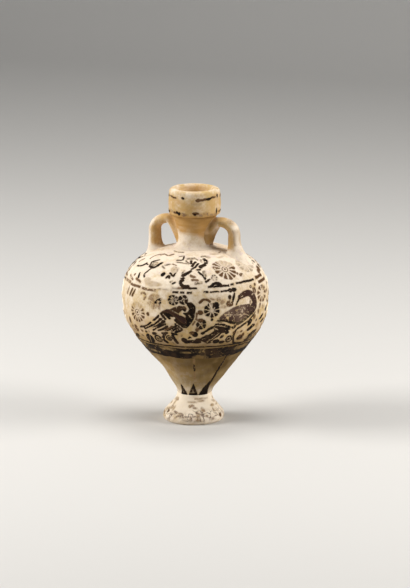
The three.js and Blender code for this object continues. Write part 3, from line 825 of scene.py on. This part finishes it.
def paint_mouth(deco):
    """Remains of a dark line under the rim and of another at the collar's foot."""
    dabs(deco, BLACK, 0.02, [(-6, 127.1, 0.75, 0.6, 0), (51, 126.7, 1.5, 0.55, 4),
        (58, 127, 1, 0.3, 8), (81, 127.6, 0.6, 0.9, 0), (-22, 118.9, 0.9, 0.6, -20),
        (-16, 118.3, 1, 0.8, -10), (21.2, 118.5, 0.8, 0.5, 0), (77.3, 119, 0.4, 1.3, 0)])
    dabs(deco, BROWN, 0.08, [(-44, 127.2, 1.8, 0.25, 0), (-32, 126.8, 1.4, 0.25, 0),
        (28, 126.2, 1.1, 0.8, 0), (36, 126.3, 1.8, 0.45, 0), (44, 126.6, 1.2, 0.5, 0),
        (67, 127.2, 1.4, 0.4, 0), (22, 118.9, 1.6, 0.5, 0), (-28, 118.8, 1.2, 0.4, 0)])
    dabs(deco, BROWN, 0.5, [(24, 124.4, 2, 0.4, 0)])
    dabs(deco, PURPLE, 0.42, [(-6, 118, 2, 0.8, 0), (30, 117.9, 1.8, 0.8, 0),
        (46, 118.9, 1.2, 0.6, 0), (62, 117.6, 3.4, 0.5, 0), (-42, 119, 2, 0.5, 0)])
    draw = np.random.default_rng(45)
    for level in (126.7, 118.6):
        for azimuth in range(100, 300, 11):
            dabs(deco, draw.choice([BLACK, BROWN]), draw.uniform(0.1, 0.4), [
                (azimuth + draw.uniform(-4, 4), level + draw.uniform(-0.3, 0.3), draw.uniform(0.6, 2.6),
                 draw.uniform(0.3, 0.8), 0)])


# Clay and paint

def link(tree, out, into):
    tree.links.new(out, into)


def math_node(tree, kind, a, b=None, clamp=False):
    node = tree.nodes.new("ShaderNodeMath")
    node.operation = kind
    node.use_clamp = clamp
    for slot, value in ((0, a), (1, b)):
        if value is None:
            continue
        if isinstance(value, (int, float)):
            node.inputs[slot].default_value = value
        else:
            link(tree, value, node.inputs[slot])
    return node.outputs[0]


def times(tree, a, b):
    return math_node(tree, "MULTIPLY", a, b)


def varied(tree, base, noise, share, clamp=False):
    """base, raised and lowered by a noise round 0.5."""
    return math_node(tree, "ADD", base, times(tree, math_node(tree, "SUBTRACT", noise, 0.5), share), clamp)


def ramp(tree, value, low, high):
    """0 below low, 1 above high, and smooth between."""
    node = tree.nodes.new("ShaderNodeMapRange")
    node.interpolation_type = "SMOOTHSTEP"
    link(tree, value, node.inputs["Value"])
    for name, limit in (("From Min", low), ("From Max", high)):
        if isinstance(limit, (int, float)):
            node.inputs[name].default_value = limit
        else:
            link(tree, limit, node.inputs[name])
    return node.outputs["Result"]


def noise_node(tree, place, scale, detail=3.0, roughness=0.55):
    node = tree.nodes.new("ShaderNodeTexNoise")
    node.inputs["Scale"].default_value = scale
    node.inputs["Detail"].default_value = detail
    node.inputs["Roughness"].default_value = roughness
    link(tree, place, node.inputs["Vector"])
    return node.outputs["Fac"]


def mix_colours(tree, share, first, second):
    node = tree.nodes.new("ShaderNodeMix")
    node.data_type = "RGBA"
    for slot, value in ((0, share), (6, first), (7, second)):
        if isinstance(value, (int, float)):
            node.inputs[slot].default_value = value
        elif isinstance(value, tuple):
            node.inputs[slot].default_value = (*value, 1)
        else:
            link(tree, value, node.inputs[slot])
    return node.outputs[2]


def attribute(tree, name):
    node = tree.nodes.new("ShaderNodeAttribute")
    node.attribute_name = name
    return node.outputs["Fac"]


CREAM = (0.84, 0.725, 0.585)
BUFF = (0.61, 0.435, 0.200)
OCHRE = (0.50, 0.32, 0.125)
# The orange-buff and olive-brown tints below are colours of the clay itself, and are also laid on as
# painted shade: under the collar, inside the mouth, on the cone and on the handles.
WARM_AND_SHADE = (0.53, 0.295, 0.095)
EARTH_AND_SHADE = (0.105, 0.063, 0.020)
ROSE = (0.66, 0.53, 0.49)
LIME_AND_HIGHLIGHT = (0.97, 0.855, 0.695)
SLIP_BLACK = (0.010, 0.006, 0.004)
SLIP_BROWN = (0.105, 0.052, 0.022)
SLIP_PURPLE = (0.042, 0.020, 0.015)
WASH = (0.27, 0.155, 0.080)
OLIVE = (0.085, 0.060, 0.030)
VIOLET = (0.18, 0.110, 0.090)
STAIN = (0.30, 0.180, 0.070)


def fired_clay():
    """Pale chalky clay, worn, with the slip that is left of the painting."""
    material = bpy.data.materials.new("fired_clay")
    material.use_nodes = True
    tree = material.node_tree
    shader = tree.nodes["Principled BSDF"]
    coordinates = tree.nodes.new("ShaderNodeTexCoord")
    to_mm = tree.nodes.new("ShaderNodeVectorMath")
    to_mm.operation = "SCALE"
    to_mm.inputs["Scale"].default_value = 1000
    link(tree, coordinates.outputs["Object"], to_mm.inputs[0])
    place = to_mm.outputs[0]
    turned = tree.nodes.new("ShaderNodeMapping")
    turned.inputs["Scale"].default_value = (0.06, 0.06, 1.0)
    link(tree, place, turned.inputs["Vector"])

    broad = noise_node(tree, place, 0.055)
    patches = noise_node(tree, place, 0.22, 4)
    mottle = noise_node(tree, place, 0.9, 4, 0.6)
    grain = noise_node(tree, place, 3.2, 3, 0.6)
    wheel = noise_node(tree, turned.outputs["Vector"], 0.9, 3)
    slip = attribute(tree, "slip")
    tone = attribute(tree, "tone")
    fade = attribute(tree, "fade")
    chalk_and_highlight = attribute(tree, "chalk_and_highlight")

    # Bare clay: cream where it is chalky, buff and ochre where the surface is rubbed, then warmed and
    # darkened by the tints of its place, which also carry painted shade and, on the handles, painted
    # highlight
    pale = varied(tree, chalk_and_highlight, patches, 2.1)
    pale = varied(tree, pale, mottle, 1.3, True)
    deep = ramp(tree, broad, 0.40, 0.66)
    rubbed = mix_colours(tree, deep, BUFF, OCHRE)
    rubbed = mix_colours(tree, 0.55, BUFF, rubbed)
    clay = mix_colours(tree, pale, rubbed, CREAM)
    blush = noise_node(tree, place, 0.35, 3)
    rosy = times(tree, ramp(tree, blush, 0.54, 0.68), ramp(tree, chalk_and_highlight, 0.7, 1.0))
    clay = mix_colours(tree, times(tree, rosy, 0.6), clay, ROSE)
    # The orange and olive-brown tints are partly the clay's colour and partly painted shade.
    clay = mix_colours(tree, attribute(tree, "warm_and_shade"), clay, WARM_AND_SHADE)
    clay = mix_colours(tree, attribute(tree, "earth_and_shade"), clay, EARTH_AND_SHADE)
    specks = ramp(tree, grain, 0.60, 0.72)
    clay = mix_colours(tree, times(tree, specks, 0.35), clay, STAIN)

    # Paint: ragged edges, then flaked and thinned where the fade says so, with a chalky crust last, which
    # along the belly's contours is partly a painted highlight
    ragged = varied(tree, slip, mottle, 0.95)
    ragged = varied(tree, ragged, grain, 0.6)
    covered = ramp(tree, ragged, -0.10, 0.12)
    flakes = noise_node(tree, place, 0.62, 6, 0.68)
    limit = math_node(tree, "ADD", times(tree, fade, 0.42), 0.30)
    kept = ramp(tree, flakes, limit, math_node(tree, "ADD", limit, 0.075))
    painted = times(tree, covered, kept)
    halo = times(tree, ramp(tree, ragged, -0.70, 0.15), 0.40)
    clay = mix_colours(tree, halo, clay, STAIN)

    browner = ramp(tree, tone, 0.05, 0.45)
    redder = ramp(tree, tone, 0.55, 0.95)
    pigment = mix_colours(tree, browner, SLIP_BLACK, SLIP_BROWN)
    pigment = mix_colours(tree, redder, pigment, SLIP_PURPLE)
    thin = times(tree, ramp(tree, patches, 0.42, 0.66), 0.3)
    pigment = mix_colours(tree, thin, pigment, SLIP_BROWN)
    thinned = mix_colours(tree, redder, mix_colours(tree, browner, OLIVE, WASH), VIOLET)
    pigment = mix_colours(tree, times(tree, ramp(tree, fade, 0.08, 0.40), 0.85), pigment, thinned)
    opacity = math_node(tree, "SUBTRACT", 1.0, times(tree, ramp(tree, fade, 0.12, 0.62), 0.7))
    colour = mix_colours(tree, times(tree, painted, opacity), clay, pigment)
    colour = mix_colours(tree, attribute(tree, "crust_and_highlight"), colour, LIME_AND_HIGHLIGHT)
    link(tree, colour, shader.inputs["Base Color"])

    roughness = tree.nodes.new("ShaderNodeMapRange")
    roughness.inputs["To Min"].default_value = 0.88
    roughness.inputs["To Max"].default_value = 0.72
    link(tree, painted, roughness.inputs["Value"])
    link(tree, roughness.outputs["Result"], shader.inputs["Roughness"])
    shader.inputs["Specular IOR Level"].default_value = 0.08

    relief = times(tree, mottle, 0.10)
    relief = math_node(tree, "ADD", relief, times(tree, grain, 0.035))
    relief = math_node(tree, "ADD", relief, times(tree, wheel, 0.12))
    relief = math_node(tree, "ADD", relief, times(tree, painted, 0.05))
    bump = tree.nodes.new("ShaderNodeBump")
    bump.inputs["Strength"].default_value = 0.9
    bump.inputs["Distance"].default_value = MM
    link(tree, relief, bump.inputs["Height"])
    link(tree, bump.outputs["Normal"], shader.inputs["Normal"])
    return material


FUNNEL_RADIUS = 10.6  # mm
FUNNEL_BOTTOM = 118  # mm, height


def tints_at(points):
    """How chalky, how warm and how earthy the clay is at points in mm; the warm and earthy tints also carry
    painted shade under the collar, inside the mouth and on the cone.
    """
    height = points[:, 2]
    azimuth = np.degrees(np.arctan2(points[:, 0], -points[:, 1]))
    from_axis = np.hypot(points[:, 0], points[:, 1])
    lumps = lattice_noise(points, 9.0, 21)
    small = lattice_noise(points, 3.5, 22)
    streaks = lattice_noise(points * np.array([0.25, 0.25, 1.0]), 1.1, 23)
    chalk_and_highlight = np.interp(height, [0, 14, 20, 26, 44, 56, 76, 86, 98, 107, 112, 122, 130],
                      [0.82, 0.80, 0.4, 0.1, 0.12, 0.36, 0.56, 0.95, 1.0, 0.84, 0.1, 0.12, 0.38])
    # The orange-buff zone on the neck under the collar is partly the clay's colour and partly painted shade
    # cast by the collar; it reaches lower on the right of the neck.
    dip = np.interp(azimuth, [-60, 0, 30, 60, 100], [-0.6, 0, 1.2, 4.0, 5.0]) * (height < 112)
    warm_and_shade = np.interp(height + dip + 0.9 * small + 1.1 * lumps, [97, 105, 108.4, 116, 118, 126, 130],
                     [0, 0, 0.85, 1.0, 0.46, 0.30, 0.08])
    warm_and_shade = warm_and_shade + 0.25 * streaks * (height > 107)
    warm_and_shade = np.maximum(warm_and_shade, np.interp(height, [20, 48, 60, 70], [0, 0.4, 0.25, 0]))
    under_rays = np.exp(-((height - 13.6) / 1.9) ** 2) * np.exp(-((azimuth - 34) / 22) ** 2)
    warm_and_shade = np.maximum(warm_and_shade, under_rays * (0.42 + 0.7 * small + 0.3 * streaks))
    # Painted shade inside the mouth: the funnel's far wall, which faces the camera, is made more orange and
    # deeper in tone than the rest of the inside.
    far_wall_shade = np.clip(np.cos(np.radians(azimuth - 200)), 0, 1) ** 3
    in_mouth = (from_axis < FUNNEL_RADIUS) & (height > FUNNEL_BOTTOM)
    warm_and_shade = np.where(in_mouth, 0.15 + 0.45 * far_wall_shade, warm_and_shade)
    # Olive-brown from the cone up to the dark band, partly the clay's colour and partly painted shade:
    # lighter on the left, towards the stronger side lamp, and deeper from the front round to the right.
    shade_by_azimuth = np.interp((azimuth + 110) % 360 - 110, [-70, -15, 8, 28, 60, 110, 190, 250],
        [-0.75, -0.45, -0.2, 0.2, 0.3, 0.1, 0.2, -0.5])
    earth_and_shade = np.interp(height, [15, 17, 19.5, 23.5, 28, 33, 37.6, 42, 48, 54, 66],
                      [0, 0.10, 0.35, 0.62, 0.68, 0.70, 0.82, 0.94, 0.80, 0.24, 0])
    earth_and_shade = earth_and_shade * (1 + shade_by_azimuth * np.interp(height, [30, 40], [1, 0.4]))
    earth_and_shade = earth_and_shade + (0.16 * lumps + 0.12 * small) * (earth_and_shade > 0.05)
    # Painted shade under the collar: olive-brown on the neck just below it, strongest on the right side of
    # the neck.
    shaded = np.clip(np.cos(np.radians(azimuth - 80)), 0, 1)
    shade_under_collar = np.interp(height, [98, 106, 113, 116, 116.6], [0, 0.02, 0.2, 0.3, 0]) * (from_axis < 16)
    shade_under_collar = shade_under_collar * (0.5 + shaded)
    earth_and_shade = np.maximum(earth_and_shade, shade_under_collar * (1 + 0.6 * streaks))
    return {
        "chalk_and_highlight": np.clip(chalk_and_highlight + 0.25 * lumps + 0.1 * small, 0, 1),
        "warm_and_shade": np.clip(warm_and_shade + 0.2 * lumps * (warm_and_shade > 0.1), 0, 1),
        "earth_and_shade": np.clip(earth_and_shade, 0, 1),
    }


def store_tints(mesh, tints):
    for name, values in tints.items():
        store(mesh, name, values)


def store(mesh, name, values):
    mesh.attributes.new(name, "FLOAT", "POINT").data.foreach_set("value", values.astype(np.float32))


# How far the finished surface departs from the turned one, in mm

HOLLOW_HEIGHT = 30  # the cone's shallow hollow on the left
HOLLOW_REACH = 5.5
HOLLOW_DEPTH = 1.4
CHIP_DEPTH = 0.55  # the chipped left contour


def unevenness(points):
    """Soft lumps and wheel marks left by the potter, the same on pieces that meet."""
    lumps = 0.16 * lattice_noise(points, 17.0, 3) + 0.07 * lattice_noise(points, 5.0, 4)
    rings = points * np.array([0.05, 0.05, 1.0])
    wheel = 0.05 * lattice_noise(rings, 1.9, 5) + 0.03 * lattice_noise(rings, 0.8, 6)
    wear = 0.035 * lattice_noise(points, 1.3, 7)
    azimuth = np.arctan2(points[:, 0], -points[:, 1])
    height = points[:, 2]
    hollow = np.clip(np.cos(azimuth + math.radians(80)), 0, 1) ** 2
    hollow = hollow * np.exp(-((height - HOLLOW_HEIGHT) / HOLLOW_REACH) ** 2)
    chipped = np.clip(np.cos(azimuth + math.radians(66)), 0, 1) ** 8 * np.clip((height - 46) / 6, 0, 1)
    chips = lattice_noise(points, 3.4, 8) * chipped * np.clip((86 - height) / 6, 0, 1)
    return lumps + wheel + wear + CHIP_DEPTH * chips - 0.2 * chipped - HOLLOW_DEPTH * hollow


def lean_of_axis(points):
    """The vessel was thrown slightly out of true: its middle wanders as it rises."""
    height = points[:, 2]
    across = np.interp(height, [0, 8, 16, 24, 40, 60, 90, 110, 130],
        [-0.5, -0.4, 0, 0.6, 0.7, 0.35, 0.3, 0, 0])
    a = math.radians(VIEW_AZIMUTH)
    return np.column_stack([across * math.cos(a), across * math.sin(a), 0 * across])


PAINTERS = {"foot": paint_foot, "body": paint_body, "mouth": paint_mouth}
PAINT_PROUD = 0.16  # mm that painted places stand above the worn clay
CRUST_PROUD = 0.45  # mm
SOFTEN_OF = {"foot": 0.8, "body": 0.9, "neck": 0.7, "mouth": 0.3}


def make_thrown(name, material):
    outer, inner = thrown_profile(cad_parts[name])
    outer = soften(resample(outer, OUTSIDE_STEP), OUTSIDE_STEP, SOFTEN_OF[name])
    inner = resample(inner, INSIDE_STEP)
    start = 0
    if name == "foot":
        inner = np.vstack([[0.1, outer[-1, 1]], [0.1, inner[0, 1]], inner])
    if name == "body":
        outer_loop = np.vstack([[0.1, outer[0, 1]], outer])
        inner = np.vstack([inner, [0.1, inner[-1, 1]]])
        start = 1
    else:
        outer_loop = outer
    deco = Decoration(outer)
    if name in PAINTERS:
        PAINTERS[name](deco)
        deco.fade = deco.fade + 0.10 * deco.noise(7.0, 73)

    def shape(points):
        proud = np.zeros(len(points))
        rows = slice(start * AROUND, (start + len(outer)) * AROUND)
        on_side = points[rows]
        proud[rows] = unevenness(on_side)
        painted = np.clip((deco.slip.ravel() + 0.15) / 0.5, 0, 1)
        proud[rows] += PAINT_PROUD * painted * (3 - 2 * painted) * painted
        proud[rows] += CRUST_PROUD * deco.crust_and_highlight.ravel()
        return proud

    piece, points = turned_piece("amphoriskos_" + name, outer_loop, inner, shape)
    count = len(points)
    first = start * AROUND
    for layer, empty in (("slip", FAR), ("tone", 0.0), ("fade", 0.0), ("crust_and_highlight", 0.0)):
        values = np.full(count, empty)
        values[first:first + deco.slip.size] = getattr(deco, layer).ravel()
        store(piece.data, layer, values)
    store_tints(piece.data, tints_at(points))
    moved = points + lean_of_axis(points)
    piece.data.vertices.foreach_set("co", (moved * MM).astype(np.float32).ravel())
    piece.data.update()
    piece.data.materials.append(material)
    return piece


# Handles, lofted in mm from the neck over the bend to the shoulder

HANDLE_COLUMNS = 96
BEND_CENTRE = (15.3, 105.6)  # mm: radius and height of the bend's middle
BEND_RADIUS = 6.9
FLARE_HEIGHT = 103.4  # mm, where the limb starts to spread into its root
STRAP_SQUARENESS = 0.96
SUNK = 0.4  # mm that the edge of a root lies inside the clay that it is luted to

# Edge of the upper root on the neck, from its top over its side to its bottom:
# degrees round the ring, degrees round the neck from the handle's middle, and height in mm.
NECK_ROOT = np.array([(90, 0, 115.4), (60, 14, 114.6), (30, 32, 110.8), (0, 45, 107.0),
                      (-30, 45, 103.0), (-60, 34, 99.8), (-90, 0, 98.8)])

# How far the clay of the lower roots is smeared outwards, inwards and round about, in mm,
# how hollow the flare is, how far to the back the outward smear points, in degrees, and what
# is left on the limbs: how pale their outside is, partly whitish clay and partly a painted highlight,
# and how much worn paint.
HANDLES = {"handle_left": {"side": -1, "axis_radius": 23.4, "smear": (2.6, 3.6, 1.8), "hollow": 0.62,
    "bearing": 0, "chalky_and_lit": 1.0, "painted": 0.0}, "handle_right": {"side": 1, "axis_radius": 23.1,
    "smear": (9.4, 1.2, 2.4), "hollow": 0.52, "bearing": 22, "chalky_and_lit": 0.75, "painted": 1.0}}


def handle_ring(radius, height, turn, thick, wide):
    """A flattened oval section whose line runs at right angles to the turn given in radians."""
    angle = np.arange(HANDLE_COLUMNS) * 2 * math.pi / HANDLE_COLUMNS
    across = 0.5 * wide * np.sign(np.cos(angle)) * np.abs(np.cos(angle)) ** STRAP_SQUARENESS
    out = 0.5 * thick * np.sign(np.sin(angle)) * np.abs(np.sin(angle)) ** STRAP_SQUARENESS
    return np.column_stack([radius + out * math.cos(turn), -across, height + out * math.sin(turn)])


def bezier_rows(start, start_pull, end_pull, end, rows):
    """Rows of points from start to end, leaving and arriving along the pulls."""
    share = (np.arange(1, rows + 1) / rows)[:, None, None]
    return list((1 - share) ** 3 * start + 3 * (1 - share) ** 2 * share * start_pull
                + 3 * (1 - share) * share ** 2 * end_pull + share ** 3 * end)


def shoulder_root(ring, shoulder, axis_radius, smear, hollow, bearing):
    """Where the lower root's edge lies on the shoulder, and the direction of the clay smeared there."""
    outwards, inwards, round_about = smear
    away = ring[:, :2] - np.array([axis_radius, 0])
    away /= np.hypot(*away.T)[:, None]
    turn = math.radians(bearing)
    outward = np.clip(0.5 + 0.5 * (away @ np.array([math.cos(turn), math.sin(turn)])), 0, 1) ** 2.5
    inward = np.clip(-away[:, 0], 0, 1) ** 1.5
    reach = round_about + (outwards - round_about) * outward + (inwards - round_about) * inward
    plan = ring[:, :2] + away * reach[:, None]
    inner = plan - away * hollow * reach[:, None]
    heights = [np.interp(-np.hypot(*place.T), -shoulder[:, 0], shoulder[:, 1]) for place in (plan, inner)]
    return np.column_stack([inner, heights[1] + 0.3]), np.column_stack([plan, heights[0] - SUNK])


def neck_root(ring, neck):
    """Where the upper root's edge lies on the neck, and how the clay is drawn down to it in a web."""
    middle = ring.mean(axis=0)
    rise = (ring[:, 2] - middle[2]) / (ring[:, 2].max() - middle[2])
    around_ring = np.degrees(np.arcsin(np.clip(rise, -1, 1)))
    near = np.sign(ring[:, 1])
    order = NECK_ROOT[np.argsort(NECK_ROOT[:, 0])]
    turn = np.radians(np.interp(around_ring, order[:, 0], order[:, 1]))
    height = np.interp(around_ring, order[:, 0], order[:, 2])

    def on_neck(turn, height, proud):
        radius = np.interp(height, neck[:, 1], neck[:, 0]) + proud
        return np.column_stack([radius * np.cos(turn), near * radius * np.sin(turn), height])

    below = np.clip(-rise, 0, 1)
    pull = on_neck(0.6 * turn, height + 0.33 * (middle[2] - 2 - height) * (0.25 + 0.75 * below),
        0.7 + 0.7 * below)
    return pull, on_neck(turn, height, -SUNK)


def paint_handle(mesh, points, outer, kind):
    """Tints of a handle, with worn violet paint on the outside of the right one. The outside is also paler,
    partly whitish clay and partly a painted highlight; painted shade deepens the faces towards the vessel
    and the hollow of the right handle's web, and a painted highlight lies along the web's ridge.

    outer is 1 where the surface looks away from the vessel and -1 where it looks towards it."""
    height = points[:, 2]
    from_axis = np.hypot(points[:, 0], points[:, 1])
    lumps = lattice_noise(points, 6.0, 52)
    small = lattice_noise(points, 2.4, 51)
    slip = np.where((outer > 0.3) & (from_axis > 17) & (height > 100), -0.1 + 0.6 * small, FAR)
    store(mesh, "slip", np.where(kind["painted"] > 0, slip, FAR))
    store(mesh, "tone", np.full(len(points), PURPLE))
    store(mesh, "fade", np.full(len(points), 0.55))
    root = np.clip((99.0 + 0.8 * lumps - height) / 2.2, 0, 1)
    # The outside is made paler and less orange, partly as whitish clay and partly as a painted highlight.
    back = np.clip((outer - 0.1) / 0.5, 0, 1)
    web = np.clip((14.5 - from_axis) / 3, 0, 1)
    # Painted highlight along the web's ridge on the neck, high under the collar.
    lit_ridge = np.exp(-(((from_axis - 10.6) / 0.8) ** 2)) * (height > 106)
    chalk_and_highlight = 0.2 + kind["chalky_and_lit"] * back + 0.15 * lumps
    chalk_and_highlight = chalk_and_highlight * (1 - web) + web * np.interp(height, [98, 102, 106], [0.8, 0.3, 0.1])
    # Faces turned towards the vessel are made more orange as painted shade, and on the web the orange zone
    # under the collar goes on, partly painted shade as on the neck.
    warm_and_shade = 0.42 - 0.4 * back + 0.25 * np.clip(-outer, 0, 1) + 0.2 * small
    warm_and_shade = warm_and_shade * (1 - web) + web * np.interp(height, [98, 102, 106], [0.1, 0.7, 0.7])
    # Painted shade in the hollow of the right handle's web under the collar; the left handle gets none.
    earth_and_shade = 0.5 * web * (kind["side"] * 0.5 + 0.5) * np.interp(height, [99, 103, 110, 113],
        [0, 0.6, 1, 0.3])
    store_tints(mesh, {
        "chalk_and_highlight": np.clip(np.maximum(chalk_and_highlight, root) + 0.4 * lit_ridge, 0, 1),
        "warm_and_shade": np.clip(warm_and_shade * (1 - root), 0, 1),
        "earth_and_shade": np.clip(earth_and_shade - 0.5 * lit_ridge, 0, 1),
    })


def make_handle(name, kind, profiles, material):
    side = kind["side"]
    axis_radius = kind["axis_radius"]
    bend_radius = axis_radius - BEND_CENTRE[0]
    limb = []
    for share in np.linspace(0, 1, 34):
        turn = math.radians(91 * (1 - share))
        thick = 5.1 + 1.6 * share
        wide = 9.0 - 0.5 * share
        height_radius = bend_radius + (BEND_RADIUS - bend_radius) * math.sin(turn)
        limb.append(handle_ring(BEND_CENTRE[0] + bend_radius * math.cos(turn),
            BEND_CENTRE[1] + height_radius * math.sin(turn), turn, thick, wide))
    for height in np.linspace(BEND_CENTRE[1], FLARE_HEIGHT, 6)[1:]:
        limb.append(handle_ring(axis_radius, height, 0, 6.7, 8.5))
    shoulder = profiles["body"]
    shoulder = shoulder[shoulder[:, 1] > 75]
    pull, edge = shoulder_root(limb[-1], shoulder, axis_radius, kind["smear"], kind["hollow"],
        kind["bearing"])
    drop = limb[-1] - np.array([0, 0, 5.0])
    lower = bezier_rows(limb[-1], drop, pull, edge, 24)
    neck_pull, neck_edge = neck_root(limb[0], profiles["neck"])
    start_pull = limb[0] - np.array([1.4, 0, 0])
    below = limb[0][:, 2] < limb[0][:, 2].mean()
    start_pull[below, 2] -= 0.9
    upper = bezier_rows(limb[0], start_pull, neck_pull, neck_edge, 30)
    rows = np.array(upper[::-1] + limb + lower)
    rows[:, :, 0] *= side
    points = rows.reshape(-1, 3)
    count = len(rows)
    mesh = bpy.data.meshes.new(name)
    ends = [list(range(HANDLE_COLUMNS)), list(range((count - 1) * HANDLE_COLUMNS, count * HANDLE_COLUMNS))]
    mesh.from_pydata((points * MM).tolist(), [], ring_quads(count, HANDLE_COLUMNS).tolist() + ends)
    work = bmesh.new()
    work.from_mesh(mesh)
    bmesh.ops.recalc_face_normals(work, faces=work.faces)
    work.to_mesh(mesh)
    work.free()
    mesh.polygons.foreach_set("use_smooth", np.ones(len(mesh.polygons), bool))
    mesh.update()
    normals = np.zeros(len(points) * 3)
    mesh.vertices.foreach_get("normal", normals)
    normals = normals.reshape(-1, 3)
    moved = points + normals * unevenness(points)[:, None] + lean_of_axis(points)
    mesh.vertices.foreach_set("co", (moved * MM).astype(np.float32).ravel())
    mesh.update()
    paint_handle(mesh, points, normals[:, 0] * side, kind)
    mesh.materials.append(material)
    return add_object("amphoriskos_" + name, mesh)


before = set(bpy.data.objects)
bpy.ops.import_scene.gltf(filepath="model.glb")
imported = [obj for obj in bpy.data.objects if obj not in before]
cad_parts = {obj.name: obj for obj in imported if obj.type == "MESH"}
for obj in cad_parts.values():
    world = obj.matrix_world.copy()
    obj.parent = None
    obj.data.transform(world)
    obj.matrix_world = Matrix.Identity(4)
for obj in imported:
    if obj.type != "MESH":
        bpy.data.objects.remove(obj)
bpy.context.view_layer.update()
make_camera()
make_stage()

clay = fired_clay()
SLOTS = {"foot": "pale_clay", "body": "painted_clay", "neck": "clay", "mouth": "clay"}
for name, slot in SLOTS.items():
    piece = make_thrown(name, clay)
    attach(piece, "root")
    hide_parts(name)

profiles = {name: thrown_profile(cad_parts[name])[0] for name in ("body", "neck")}
for name, kind in HANDLES.items():
    piece = make_handle(name, kind, profiles, clay)
    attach(piece, "root")
    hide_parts(name)
